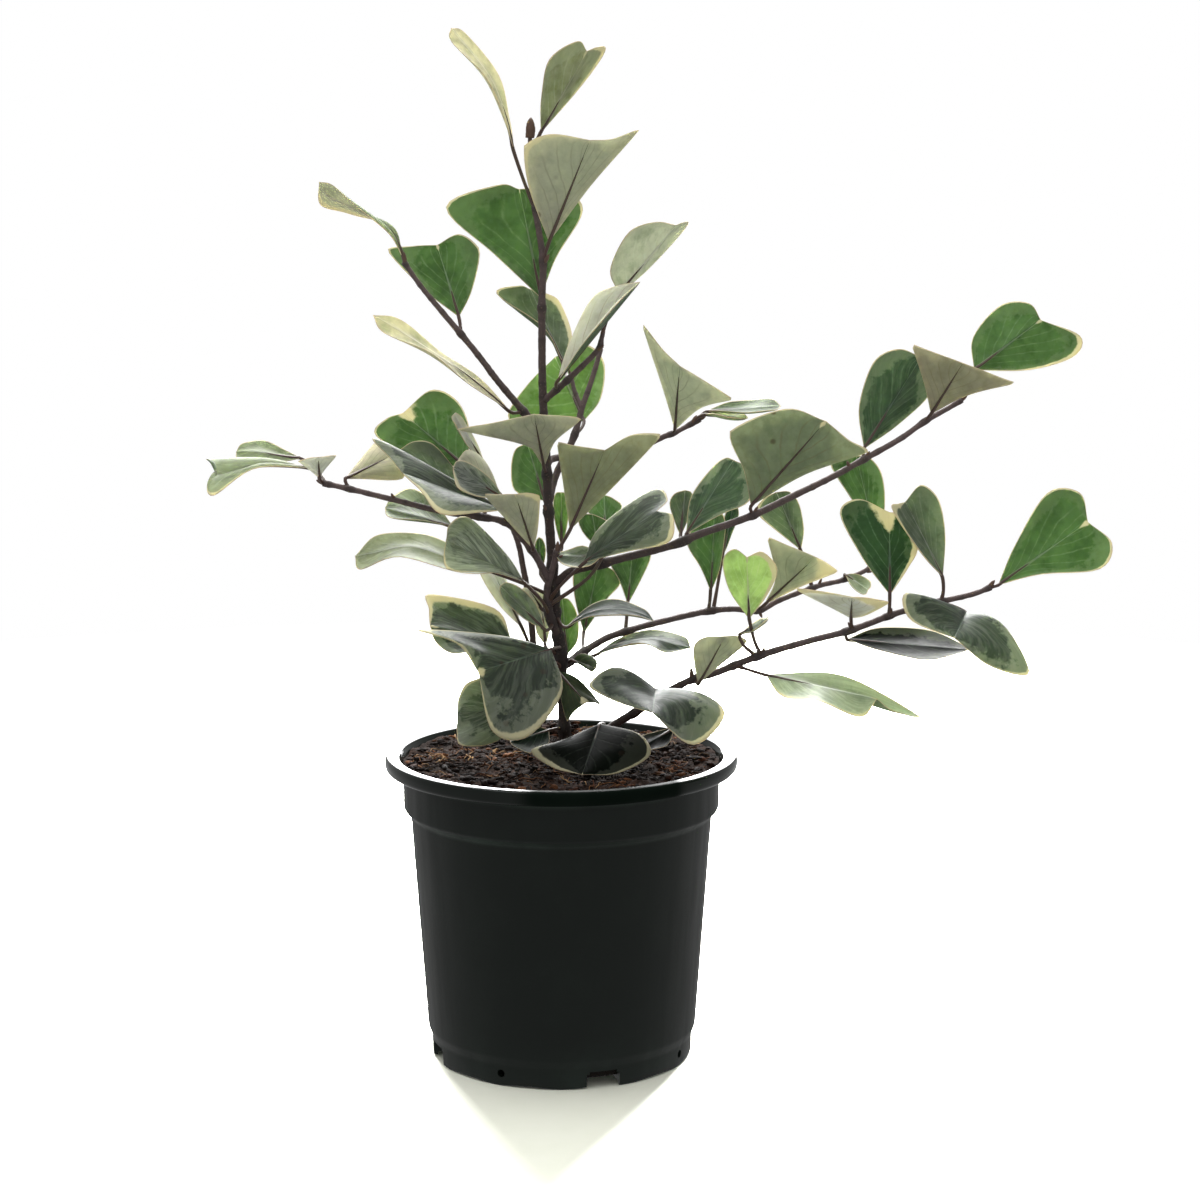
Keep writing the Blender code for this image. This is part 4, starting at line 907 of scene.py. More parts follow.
def nearest_on(points, pixel, route):
    """The point of the stem's centre line that shows nearest to a pixel of the photograph."""
    best = None
    for (start, end), (a, b) in zip(zip(points, points[1:]), zip(route, route[1:])):
        run = Vector((b[0] - a[0], b[1] - a[1]))
        share = (Vector(pixel) - Vector(a[:2])).dot(run) / run.length_squared
        share = min(max(share, 0.0), 1.0)
        off = (Vector(a[:2]) + run * share - Vector(pixel)).length
        if best is None or off < best[0]:
            best = (off, start.lerp(end, share))
    return best[1]


def add_bark(draft, places, sizes, joints):
    """A woody stem with swollen joints and the scars of fallen leaves between them. Thin wood is young."""
    swollen, spans = [], []
    for i, place in enumerate(places):
        near = sum(math.exp(-((place - joint).length / NODE_WIDTH) ** 2) for joint in joints)
        scar = max(0.0, math.cos(i * 1.1 + 4.0 * noise.noise(place * 60))) ** 8
        swollen.append(sizes[i] * (1.0 + NODE_SWELL * min(near, 1.0) + SCAR_SWELL * scar))
        youth = min(max(OLD_RADIUS - sizes[i] / MM, 0.0), 1.0)
        spans.append((min(1.0, near + 0.6 * scar), 0.0, youth))
    add_tube(draft, places, swollen, STEM_SIDES, BARK, BARK_TONE, spans, rough=BARK_ROUGHNESS)


def add_bud(draft, base, tip, radius):
    """A pointed bud wrapped in scales."""
    shares = [i / BUD_RINGS for i in range(BUD_RINGS + 1)]
    places = [base.lerp(tip, t) for t in shares]
    sizes = [radius * MM * max(0.02, (1.0 - t) ** 0.7 * (0.62 + 0.9 * t)) for t in shares]

    def scales(i, turn):
        return 0.07 * math.cos(3 * turn + i * 0.55) - 0.05 * (i % 4 == 3)

    add_tube(draft, places, sizes, BUD_SIDES, BUD, BUD_TONE, shape=scales)


def build_leafy_stem(stem, settings, materials, number):
    """One stem with its side shoot, buds, stalks and blades, as a single piece."""
    draft = Draft()
    above = [seen(p) for p in stem.route]
    points = list(above)
    if stem in ROOTED:
        points.insert(0, points[0] - Vector((0.0, 0.0, BURIED_LENGTH)))
    blades = [add_leaf(draft, leaf, settings, number * 100 + i) for i, leaf in enumerate(stem.leaves)]
    joints = [nearest_on(above, leaf.root, stem.route) for leaf in stem.leaves]
    places, sizes = smooth_route(points, stem_radii(stem, len(points)), STEM_STEP)
    add_bark(draft, places, sizes, joints)
    if stem.side_shoot:
        shoot = [seen(p) for p in stem.side_shoot]
        places, sizes = smooth_route(shoot, [stem.tip_radius * MM] * len(shoot), STEM_STEP)
        add_bark(draft, places, sizes, [])
    for blade, root in zip(blades, joints):
        add_stalk(draft, blade, root)
    for base, tip, radius in stem.buds:
        add_bud(draft, seen(base), seen(tip), radius)
    settle(draft.make("fine_" + stem.name, materials), "leafy_stem", stem.name)


# Pot


def rounded(points, corner):
    """The section with each inner corner turned into a short curve."""
    smooth = [points[0]]
    for before, here, after in zip(points, points[1:], points[2:]):
        here, before, after = Vector(here), Vector(before), Vector(after)
        back, ahead = before - here, after - here
        start = here + back.normalized() * min(corner, back.length * 0.45)
        end = here + ahead.normalized() * min(corner, ahead.length * 0.45)
        for k in range(CORNER_CUTS + 1):
            t = k / CORNER_CUTS
            smooth.append(tuple(start * (1 - t) ** 2 + here * (2 * t * (1 - t)) + end * t * t))
    return smooth + [points[-1]]


def inner_profile(inset):
    """The half section of the pot's inside, from its middle up to the lip, set in by a gap."""
    floor = FLOOR_UNDERSIDE + FLOOR_THICKNESS + inset
    return [
        (0.0, floor),
        (BODY_LOW_RADIUS - WALL - FLOOR_CORNER - inset, floor),
        (BODY_LOW_RADIUS - WALL - inset, BODY_LOW),
        (BODY_TOP_RADIUS - WALL - inset, BODY_TOP - WALL),
        (COLLAR_LOW_RADIUS - WALL - inset, COLLAR_BOTTOM),
        (COLLAR_RADIUS - WALL - inset, POT_HEIGHT - LIP_HEIGHT),
    ]


def pot_profile():
    """The pot's half section, from the floor's middle inside, over the lip and down the outer side."""
    lip = [(LIP_INNER_RADIUS, POT_HEIGHT)]
    lip += [(LIP_RADIUS - inward, POT_HEIGHT - down) for inward, down in LIP_SECTION]
    lip.append((COLLAR_RADIUS + LIP_ROOT, POT_HEIGHT - LIP_HEIGHT))
    lip.append((COLLAR_RADIUS, POT_HEIGHT - LIP_HEIGHT - LIP_ROOT))
    side = [
        (COLLAR_LOW_RADIUS, COLLAR_BOTTOM),
        (COLLAR_LOW_RADIUS - COLLAR_CHAMFER, COLLAR_BOTTOM - COLLAR_CHAMFER),
        (BODY_TOP_RADIUS, BODY_TOP),
        (BODY_LOW_RADIUS, BODY_LOW),
        (FOOT_RADIUS, FOOT_TOP),
        (FOOT_LOW_RADIUS, 0.0),
        (FOOT_LOW_RADIUS - WALL, 0.0),
        (FOOT_LOW_RADIUS - WALL, FLOOR_UNDERSIDE),
        (0.0, FLOOR_UNDERSIDE),
    ]
    return rounded(inner_profile(0.0) + lip + side, CORNER_ROUND)


def turned_mesh(name, profile, steps):
    """A closed mesh turned from a half section that starts and ends on the axis."""
    shape = bmesh.new()
    rings = []
    for radius, height in profile:
        if radius == 0.0:
            rings.append([shape.verts.new((0.0, 0.0, height))])
            continue
        turns = [2 * math.pi * k / steps for k in range(steps)]
        rings.append([shape.verts.new((radius * math.cos(t), radius * math.sin(t), height)) for t in turns])
    for low, high in zip(rings, rings[1:]):
        for k in range(steps):
            n = (k + 1) % steps
            corners = [low[k % len(low)], low[n % len(low)], high[n % len(high)], high[k % len(high)]]
            shape.faces.new(list(dict.fromkeys(corners)))
    bmesh.ops.recalc_face_normals(shape, faces=shape.faces)
    return mesh_of(shape, name)


def turned_to(angle_deg, radius, height):
    """A place round the foot, with its local Y pointing out of the pot. 0 degrees is the -Y side."""
    spin = Matrix.Rotation(math.radians(angle_deg + 180.0), 4, "Z")
    return spin @ Matrix.Translation((0.0, radius, height))


def add_drain_cutters():
    """The shapes to cut from the foot: upright slots, with a small round hole between each two."""
    cutters = bpy.data.collections.new("drain_cutters")
    bpy.context.scene.collection.children.link(cutters)
    for index in range(SLOT_COUNT):
        angle = FIRST_SLOT_DEG + index * 360.0 / SLOT_COUNT
        slot = bmesh.new()
        bmesh.ops.create_cube(slot, size=1.0)
        size = Matrix.Diagonal((SLOT_WIDTH, SLOT_DEPTH, 2 * SLOT_HEIGHT, 1.0))
        bmesh.ops.transform(slot, matrix=size, verts=slot.verts)
        upright = [e for e in slot.edges if abs(e.verts[0].co.y - e.verts[1].co.y) > SLOT_DEPTH / 2]
        bmesh.ops.bevel(slot, geom=upright, offset=SLOT_CORNER, segments=4, affect="EDGES")
        bmesh.ops.transform(slot, matrix=turned_to(angle, FOOT_RADIUS - SLOT_INWARD, 0.0), verts=slot.verts)
        hole = bmesh.new()
        bmesh.ops.create_cone(
            hole, cap_ends=True, segments=DRAIN_HOLE_SIDES, radius1=DRAIN_HOLE_RADIUS,
            radius2=DRAIN_HOLE_RADIUS, depth=SLOT_DEPTH / 2,
        )
        place = turned_to(angle + 180.0 / SLOT_COUNT, FOOT_RADIUS, DRAIN_HOLE_HEIGHT)
        bmesh.ops.transform(hole, matrix=place @ Matrix.Rotation(math.pi / 2, 4, "X"), verts=hole.verts)
        for shape in (slot, hole):
            cutters.objects.link(bpy.data.objects.new("drain_cutter", mesh_of(shape, "drain_cutter")))
    return cutters


def build_pot(settings):
    """The nursery pot, with its rolled lip, collar, waved foot ring and drain openings."""
    mesh = turned_mesh("fine_nursery_pot", pot_profile(), POT_STEPS)
    for vertex in mesh.vertices:
        low = 1.0 - vertex.co.z / SCALLOP_TOP
        if low > 0.0 and math.hypot(vertex.co.x, vertex.co.y) > FOOT_LOW_RADIUS - 1.5 * WALL:
            turn = math.atan2(vertex.co.y, vertex.co.x)
            vertex.co.z += low * SCALLOP_DEPTH * (1.0 - math.cos(SCALLOPS * turn)) / 2
    pot = link_new("fine_nursery_pot", mesh)
    cutters = add_drain_cutters()
    boolean = pot.modifiers.new("Drains", "BOOLEAN")
    boolean.operation = "DIFFERENCE"
    boolean.operand_type = "COLLECTION"
    boolean.collection = cutters
    boolean.solver = "MANIFOLD"
    bpy.context.view_layer.update()
    graph = bpy.context.evaluated_depsgraph_get()
    pot.data = bpy.data.meshes.new_from_object(pot.evaluated_get(graph))
    pot.modifiers.clear()
    for cutter in list(cutters.objects):
        bpy.data.objects.remove(cutter, do_unlink=True)
    bpy.data.collections.remove(cutters)
    pot.data.materials.clear()
    pot.data.materials.append(pot_material(settings))
    pot.data.shade_smooth()
    pot.data.set_sharp_from_angle(angle=math.radians(SHARP_DEG))
    settle(pot, "pot_plastic", "nursery_pot")


# Soil


def soil_height(x, y):
    """The soil's surface: mounded in the middle, banked against the pot, and rough."""
    from_axis = min(1.0, math.hypot(x, y) / SOIL_TOP_RADIUS)
    place = Vector((x, y, 0.0))
    lumps = sum(noise.noise(place * scale) * height for scale, height in SOIL_LUMPS)
    banked = SOIL_BANK * from_axis ** 4
    return SOIL_LEVEL + SOIL_MOUND * (1.0 - from_axis ** 2) + banked + lumps * MM


def build_soil(settings):
    """The peat that fills the pot, with a rough top."""
    top = [(SOIL_TOP_RADIUS * (1.0 - k / SOIL_RINGS), SOIL_LEVEL) for k in range(SOIL_RINGS + 1)]
    mesh = turned_mesh("fine_potting_soil", inner_profile(GAP) + top, SOIL_STEPS)
    for vertex in mesh.vertices:
        if vertex.co.z > SOIL_LEVEL - 0.01 * MM:
            vertex.co.z = soil_height(vertex.co.x, vertex.co.y)
    soil = link_new("fine_potting_soil", mesh)
    mesh.materials.append(soil_material(settings))
    mesh.shade_smooth()
    settle(soil, "soil", "potting_soil")


def crumb_form(cuts):
    """The points and faces of a ball, for crumbs to be squashed from."""
    shape = bmesh.new()
    bmesh.ops.create_icosphere(shape, subdivisions=cuts, radius=1.0)
    points = [v.co.copy() for v in shape.verts]
    faces = [tuple(v.index for v in f.verts) for f in shape.faces]
    shape.free()
    return points, faces


def litter_place(rng, reach):
    """A random place on the soil, as likely anywhere within reach of the axis."""
    turn = rng.uniform(0.0, 2 * math.pi)
    radius = reach * math.sqrt(rng.random())
    x, y = radius * math.cos(turn), radius * math.sin(turn)
    return Vector((x, y, soil_height(x, y)))


def build_crumbs(settings):
    """Loose crumbs of peat and chips of bark on the soil, some heaped at the back, in one piece."""
    rng = random.Random(SOIL_SEED)
    draft = Draft()
    coarse, fine = crumb_form(1), crumb_form(2)
    reach = SOIL_TOP_RADIUS - 1.5 * MM
    for index in range(settings.crumb_count):
        place = litter_place(rng, reach)
        size = rng.choice(CRUMB_SIZES) * MM
        if index % CRUMBS_PER_HEAP_CRUMB == 0:
            heap = Vector((rng.gauss(*HEAP[0]), rng.gauss(*HEAP[1]), 0.0)) * MM
            if heap.length < reach:
                height = soil_height(heap.x, heap.y) + rng.uniform(0.0, HEAP_HEIGHT) * MM
                place = Vector((heap.x, heap.y, height))
        points, faces = fine if size > FINE_CRUMB * MM else coarse
        squash = Vector([rng.uniform(*span) for span in CRUMB_SQUASH])
        spin = Matrix.Rotation(rng.uniform(0, 6.3), 3, "Z") @ Matrix.Rotation(rng.uniform(-0.5, 0.5), 3, "X")
        tone = (*linear(*rng.choice(LITTER_TONES)), 0.0)
        first = len(draft.points)
        for point in points:
            lump = 1.0 + 0.7 * noise.noise(point * 2.2 + place * 3000)
            at = spin @ (point * squash * lump) * size
            draft.add_point(place + at, tone)
        for face in faces:
            draft.add_face(tuple(first + k for k in face), 0)
    settle(draft.make("soil_crumbs", [litter_material(settings)]), "soil")


def build_fibres(settings):
    """Peat fibres and dry root ends that lie on the soil."""
    rng = random.Random(SOIL_SEED + 1)
    draft = Draft()
    reach = COLLAR_RADIUS - WALL - 6.0 * MM
    for _ in range(settings.fibre_count):
        place = litter_place(rng, reach)
        heading = rng.uniform(0.0, 2 * math.pi)
        length = rng.uniform(*FIBRE_LENGTHS) * MM
        points = []
        for k in range(FIBRE_CUTS):
            x, y = place.x, place.y
            if math.hypot(x, y) < reach + 4.0 * MM:
                lift = math.sin(math.pi * k / (FIBRE_CUTS - 1)) * rng.uniform(*FIBRE_LIFTS) * MM
                points.append(Vector((x, y, soil_height(x, y) + 0.3 * MM + lift)))
            heading += rng.uniform(-0.5, 0.5)
            place = place + Vector((math.cos(heading), math.sin(heading), 0.0)) * (length / FIBRE_CUTS)
        if len(points) < 3:
            continue
        places, sizes = smooth_route(points, [rng.uniform(*FIBRE_RADII) * MM] * len(points), 1.5 * MM)
        add_tube(draft, places, sizes, FIBRE_SIDES, 0, rng.choice(FIBRE_TONES))
    settle(draft.make("soil_fibres", [litter_material(settings)]), "soil")


# Materials


class Wire:
    """A value on its way through a node tree. Each sign or step adds the node that works it out."""

    def __init__(self, sketch, socket):
        self.sketch = sketch
        self.socket = socket

    def __add__(self, other):
        return self.sketch.calc("ADD", self, other)

    def __sub__(self, other):
        return self.sketch.calc("SUBTRACT", self, other)

    def __rsub__(self, other):
        return self.sketch.calc("SUBTRACT", other, self)

    def __mul__(self, other):
        return self.sketch.calc("MULTIPLY", self, other)

    def __truediv__(self, other):
        return self.sketch.calc("DIVIDE", self, other)

    def __pow__(self, other):
        return self.sketch.calc("POWER", self, other)

    def __abs__(self):
        return self.sketch.calc("ABSOLUTE", self)

    def step(self, low, high, start=0.0, end=1.0):
        """A smooth step from start to end as the value goes from low to high."""
        values = {"Value": self, "From Min": low, "From Max": high, "To Min": start, "To Max": end}
        return self.sketch.node("ShaderNodeMapRange", values, interpolation_type="SMOOTHSTEP")[0]

    def fade(self, low, high):
        """A smooth fall from 1 to 0 as the value goes from low to high."""
        return self.step(low, high, 1.0, 0.0)

    def lighter(self, power):
        """The colour raised to a power below 1, which lifts the dark tones and keeps all under white."""
        return self.sketch.node("ShaderNodeGamma", {0: self, 1: power})[0]

    def split(self):
        """The three parts of a vector or colour."""
        return self.sketch.node("ShaderNodeSeparateXYZ", {0: self})


class Wires:
    """What one node puts out, by name or by number."""

    def __init__(self, sketch, sockets):
        self.sketch = sketch
        self.sockets = sockets

    def __getitem__(self, key):
        return Wire(self.sketch, self.sockets[key])


class Sketch:
    """Adds nodes to a tree, each joined to its inputs as it is made."""

    def __init__(self, tree):
        self.tree = tree

    def node(self, kind, values=None, **settings):
        """What a new node puts out. Inputs are linked or set, and those given as None are left alone."""
        made = self.tree.nodes.new(kind)
        for key, value in settings.items():
            setattr(made, key, value)
        for key, value in (values or {}).items():
            if isinstance(value, Wire):
                self.tree.links.new(value.socket, made.inputs[key])
            elif value is not None:
                made.inputs[key].default_value = value
        return Wires(self, made.outputs)

    def calc(self, operation, first, second=0.0):
        return self.node("ShaderNodeMath", {0: first, 1: second}, operation=operation)[0]

    def mix(self, share, first, second, blend="MIX"):
        values = {0: share, 6: first, 7: second}
        return self.node("ShaderNodeMix", values, data_type="RGBA", blend_type=blend, clamp_result=True)[2]

    def layers(self, colour, *coats):
        """The colour with coats over it, each as its share and its colour."""
        for share, coat in coats:
            colour = self.mix(share, colour, coat)
        return colour

    def place(self):
        """Where a point lies in the object, in metres."""
        return self.node("ShaderNodeTexCoord")["Object"]

    def joined(self, x, y, z):
        return self.node("ShaderNodeCombineXYZ", {0: x, 1: y, 2: z})[0]

    def noise(self, where, scale, detail=2.0, roughness=0.5):
        values = {"Vector": where, "Scale": scale, "Detail": detail, "Roughness": roughness}
        return self.node("ShaderNodeTexNoise", values)["Fac"]

    def cells(self, where, scale, feature="F1"):
        return self.node("ShaderNodeTexVoronoi", {"Vector": where, "Scale": scale}, feature=feature)

    def attribute(self, name):
        return self.node("ShaderNodeAttribute", attribute_name=name)

    def group(self, tree, values):
        return self.node("ShaderNodeGroup", values, node_tree=tree)

    def grain(self, scale, stretch, dust_scale):
        """The Grain group, with its values for one finish."""
        return self.group(grain_group(), {"Scale": scale, "Stretch": stretch, "Dust Scale": dust_scale})

    def bump(self, height, distance, strength=1.0):
        values = {"Height": height, "Distance": distance, "Strength": strength}
        return self.node("ShaderNodeBump", values)["Normal"]

    def surface(self, colour, roughness, normal=None, gloss=None, alpha=None, glow=None, through=0.0):
        """The shader and the material's output. With a glow, some light comes through in that colour."""
        values = {"Base Color": colour, "Roughness": roughness, "Normal": normal, "Alpha": alpha}
        values["Specular IOR Level"] = gloss
        shader = self.node("ShaderNodeBsdfPrincipled", values)[0]
        if glow is not None:
            behind = self.node("ShaderNodeBsdfTranslucent", {"Color": glow, "Normal": normal})[0]
            shader = self.node("ShaderNodeMixShader", {0: through, 1: shader, 2: behind})[0]
        self.node("ShaderNodeOutputMaterial", {"Surface": shader})

    def put_out(self, results):
        """Give a group its outputs, each by its name."""
        for label in results:
            self.tree.interface.new_socket(label, in_out="OUTPUT", socket_type="NodeSocketFloat")
        self.node("NodeGroupOutput", results)


def new_group(name, inputs):
    """The sketch of a new node group, and its named inputs."""
    sketch = Sketch(bpy.data.node_groups.new(name, "ShaderNodeTree"))
    for label, default in inputs.items():
        socket = sketch.tree.interface.new_socket(label, in_out="INPUT", socket_type="NodeSocketFloat")
        socket.default_value = default
    return sketch, sketch.node("NodeGroupInput")


def leaf_marks_group():
    """The marks of a leaf: midrib, side veins, cream margin, grey-green zone, dark blotches, brown flecks,
    rim and relief, the streaks of a painted sheen, which run along the veins, and a fine unevenness of shade."""
    made = bpy.data.node_groups.get("Leaf marks")
    if made:
        return made
    inputs = {"Vein Count": 6.0, "Vein Slant": 0.4, "Raggedness": 0.9, "Zone Width": 0.5}
    sketch, given = new_group("Leaf marks", inputs)
    across, along, packed = sketch.attribute("blade")["Vector"].split()
    rib_gap, edge_gap, creamy = sketch.attribute("span")["Vector"].split()
    share = abs(across)
    freckled = sketch.calc("FLOOR", packed / SEED_ROOM)
    seed = packed - freckled * SEED_ROOM
    shift = sketch.joined(seed, seed, seed)
    where = sketch.node("ShaderNodeVectorMath", {0: sketch.place(), 1: shift}, operation="ADD")[0]
    broad = sketch.noise(where, 60.0, 3.0, 0.55)
    fine = sketch.noise(where, 300.0, 3.0, 0.6)
    rib = (rib_gap / along.step(0.0, 0.95, 1.0, 0.2)).fade(0.4, 1.15)
    line = along - share ** 0.75 * given["Vein Slant"] + (broad - 0.5) * 0.16
    off = abs(sketch.calc("FRACT", (line + 1.0) * given["Vein Count"]) - 0.5)
    veins = off.fade(0.0, 0.12) * share.fade(0.4, 0.9) * fine.step(0.35, 0.6, 0.35, 1.0)
    net = sketch.cells(where, 520.0, "DISTANCE_TO_EDGE")["Distance"].fade(0.0, 0.14)
    uneven = (broad - 0.5) * given["Raggedness"] + (fine - 0.5) * 0.6
    # Streaks of painted sheen, which whiten the colour along the veins
    painted_sheen_streaks = sketch.noise(sketch.joined(line, across * 0.12, seed), 18.0, 3.0, 0.7)
    dots = sketch.cells(where, 130.0)
    rare = dots["Color"].split()[0].step(0.7, 0.75)
    sketch.put_out({
        "Rib": rib,
        "Veins": veins,
        "Cream": (creamy + uneven).step(0.02, 0.3),
        "Zone": (share + uneven * 1.1).step(given["Zone Width"], given["Zone Width"] + 0.14),
        "Blotches": sketch.noise(where, 95.0, 4.0, 0.65).step(0.42, 0.66),
        "Painted Sheen": painted_sheen_streaks.step(0.4, 0.66, 0.55, 1.4),
        "Flecks": dots["Distance"].fade(0.12, 0.24) * rare * (freckled / FLECK_STEPS),
        "Rim": edge_gap.fade(0.1, 0.5),
        "Shade": fine,
        "Height": rib * -1.0 + veins * -0.35 + net * -0.05 + broad * 1.6,
    })
    return sketch.tree


def grain_group():
    """Fine uneven grain with a little dust, for bark, plastic, soil, stalks and the floor."""
    made = bpy.data.node_groups.get("Grain")
    if made:
        return made
    sketch, given = new_group("Grain", {"Scale": 300.0, "Stretch": 1.0, "Dust Scale": 40.0})
    x, y, z = sketch.place().split()
    where = sketch.joined(x, y, z * given["Stretch"])
    grain = sketch.noise(where, given["Scale"], 4.0, 0.6)
    dust = sketch.noise(where, given["Dust Scale"], 5.0, 0.65).step(0.42, 0.72)
    sketch.put_out({"Grain": grain, "Dust": dust, "Height": grain + dust * 0.3})
    return sketch.tree


def new_material(name):
    """A new material with no nodes, and the sketch that fills it."""
    material = bpy.data.materials.new(name)
    material.use_nodes = True
    material.node_tree.nodes.clear()
    return material, Sketch(material.node_tree)


def rgba(colour):
    """A colour of scene linear values, for a socket."""
    return (*tuple(colour)[:3], 1.0)


def paint(red, green, blue):
    """A display colour, 0 to 255 a channel, for a socket."""
    return rgba(linear(red, green, blue))


def leaf_face_material(name, settings, under):
    """One face of the leaves. The upper is waxy and mottled, and the under is paler, matt and dark-ribbed.
    Both are whitened in streaks by a painted sheen, and both have a pale edge that is partly painted glow.
    """
    material, sketch = new_material(name)
    marks = sketch.group(leaf_marks_group(), {"Vein Count": 6.0, "Zone Width": 0.75 if under else 0.6})
    tone = sketch.attribute("tone")
    sheen = tone["Alpha"]
    shaded = sketch.mix(marks["Shade"], paint(206, 206, 206), paint(255, 255, 255))
    green = sketch.mix(1.0, tone["Color"], shaded, "MULTIPLY")
    dusky = sketch.mix(1.0, green, rgba((0.55, 0.6, 0.52)), "MULTIPLY")
    grey = sketch.mix(0.4, green, paint(182, 186, 170))
    colour = sketch.layers(
        green,
        (marks["Blotches"] * (0.3 if under else 0.7), dusky),
        (marks["Zone"] * sheen.step(0.0, 0.1, 0.2, 0.3 if under else 0.75), grey),
        (marks["Veins"] * 0.38, paint(112, 96, 78) if under else green.lighter(0.6)),
        (marks["Rib"] * (0.8 if under else 0.6), paint(56, 42, 42) if under else green.lighter(0.5)),
        # Painted sheen: the colour whitened in streaks along the veins, as light on the wax would, by the
        # tone's sheen
        (sheen * marks["Painted Sheen"], paint(206, 210, 202)),
        (marks["Flecks"] * 0.8, paint(78, 56, 44)),
    )
    glow = sketch.mix(1.0, colour, rgba((1.6, 1.62, 1.36)), "MULTIPLY")
    # A pale band at the very edge, in the rim colour: partly the margin's own pinkish cream, partly painted
    # glow of the light from behind
    edge = (marks["Rim"] * 0.6, rgba(settings.rim_colour))
    colour = sketch.layers(colour, (marks["Cream"], rgba(settings.cream_colour)), edge)
    glow = sketch.layers(glow, (marks["Cream"], paint(206, 200, 168)), edge)
    rough = marks["Shade"].step(0.2, 0.8, 0.5 if under else 0.32, 0.66 if under else 0.48)
    normal = sketch.bump(marks["Height"], 0.12 * MM, 0.6)
    sketch.surface(colour, rough, normal, gloss=sheen.step(0.0, 0.3, 0.03, 0.42), glow=glow, through=0.36)
    return material


def leaf_rim_material(settings):
    """The thin rim of a blade, which lets light through and shows cream with a little red. Its pale colour is
    partly the margin's own and partly painted glow of the light from behind.
    """
    material, sketch = new_material("leaf_rim")
    marks = sketch.group(leaf_marks_group(), {"Vein Count": 6.0})
    colour = sketch.mix(marks["Blotches"], rgba(settings.rim_colour), rgba(settings.cream_colour))
    sketch.surface(colour, 0.5, glow=colour, through=0.4)
    return material


def stalk_material():
    """Leaf stalks and raised midribs: smooth reddish skin with green in it."""
    material, sketch = new_material("leaf_stalk")
    grain = sketch.grain(240.0, 0.6, 90.0)
    colour = sketch.layers(
        sketch.attribute("tone")["Color"],
        (grain["Dust"] * 0.4, paint(96, 92, 62)),
        (grain["Grain"] * 0.4, paint(50, 36, 34)),
    )
    sketch.surface(colour, 0.45, sketch.bump(grain["Height"], 0.1 * MM))
    return material


def bark_material(settings):
    """Brown bark with paler young wood, dark joints and small pale pores."""
    material, sketch = new_material("fig_bark")
    grain = sketch.grain(420.0, 0.35, 130.0)
    span = sketch.attribute("span")["Vector"].split()
    pore = sketch.cells(sketch.place(), 700.0)["Distance"].fade(0.16, 0.3)
    old = sketch.mix(grain["Grain"], rgba(settings.bark_colour), paint(62, 48, 44))
    young = sketch.mix(grain["Grain"], paint(60, 48, 48), paint(116, 98, 94))
    colour = sketch.layers(
        old,
        (span[2], young),
        (span[0] * 0.55, paint(26, 20, 19)),
        (pore * 0.2, paint(130, 112, 98)),
    )
    height = grain["Height"] + pore * 0.5
    sketch.surface(colour, grain["Grain"].step(0.2, 0.8, 0.55, 0.85), sketch.bump(height, 0.25 * MM))
    return material


def bud_material():
    """Dry brown bud scales."""
    material, sketch = new_material("bud_scales")
    grain = sketch.grain(500.0, 0.3, 200.0)
    colour = sketch.mix(grain["Grain"], paint(96, 70, 62), sketch.attribute("tone")["Color"])
    sketch.surface(colour, 0.6, sketch.bump(grain["Height"], 0.2 * MM))
    return material


def pot_material(settings):
    """Dark green moulded plastic: a satin wall, a glossy lip that is scuffed dull at its front, and a little
    dust under the lip, under the collar and round the foot."""
    material, sketch = new_material("pot_plastic")
    grain = sketch.grain(1400.0, 1.0, 34.0)
    streaks = sketch.grain(160.0, 0.06, 60.0)
    x, y, z = sketch.place().split()
    lip = POT_HEIGHT - LIP_HEIGHT
    lip_line = z.step(lip - 3.5 * MM, lip - 1.0 * MM) * z.fade(lip - 1.0 * MM, lip)
    over_body = z.step(BODY_TOP - 1.5 * MM, BODY_TOP + 0.5 * MM)
    collar_line = over_body * z.fade(COLLAR_BOTTOM - 1.5 * MM, COLLAR_BOTTOM)
    foot_line = z.step(3.0 * MM, 26.0 * MM, 0.4, 0.0)
    settled = sketch.calc("MAXIMUM", sketch.calc("MAXIMUM", lip_line, collar_line), foot_line)
    dusty = settled * grain["Dust"].step(0.0, 1.0, 0.4, 1.0)
    colour = sketch.layers(
        rgba(settings.pot_colour),
        (streaks["Grain"] * 0.5, paint(14, 21, 17)),
        (grain["Dust"] * 0.1, paint(34, 44, 37)),
        (dusty * 0.5, paint(44, 58, 49)),
    )
    polish = z.step(lip - 1.0 * MM, lip + 1.0 * MM)
    scuffed = y.fade(*SCUFF_BACK) * polish * x.step(*SCUFF_LEFT) * x.fade(*SCUFF_RIGHT)
    rough = streaks["Grain"].step(0.25, 0.75, 0.4, 0.52) * (1.0 - polish * 0.88) + scuffed * 0.4
    normal = sketch.bump(grain["Height"], 0.03 * MM)
    sketch.surface(colour, rough, normal, gloss=scuffed.step(0.0, 1.0, 0.19, 0.01))
    return material


def soil_material(settings):
    """Damp peat, dark with brown and reddish grains, and darkest deep in the pot, where the darkening is
    painted shade.
    """
    material, sketch = new_material("potting_soil")
    fine = sketch.grain(900.0, 1.0, 260.0)
    broad = sketch.grain(160.0, 1.0, 90.0)
    height = sketch.place().split()[2]
    colour = sketch.layers(
        rgba(settings.soil_colour),
        (fine["Grain"], paint(46, 32, 25)),
        (fine["Dust"] * 0.5, paint(78, 52, 38)),
        (broad["Dust"] * 0.6, paint(16, 12, 10)),
        # Painted shade: the colour goes near black deep in the pot
        (height.step(8.0 * MM, 60.0 * MM, 0.9, 0.0), paint(18, 15, 13)),
    )
    sketch.surface(colour, 0.95, sketch.bump(fine["Height"] + broad["Height"], 1.2 * MM), gloss=0.1)
    return material


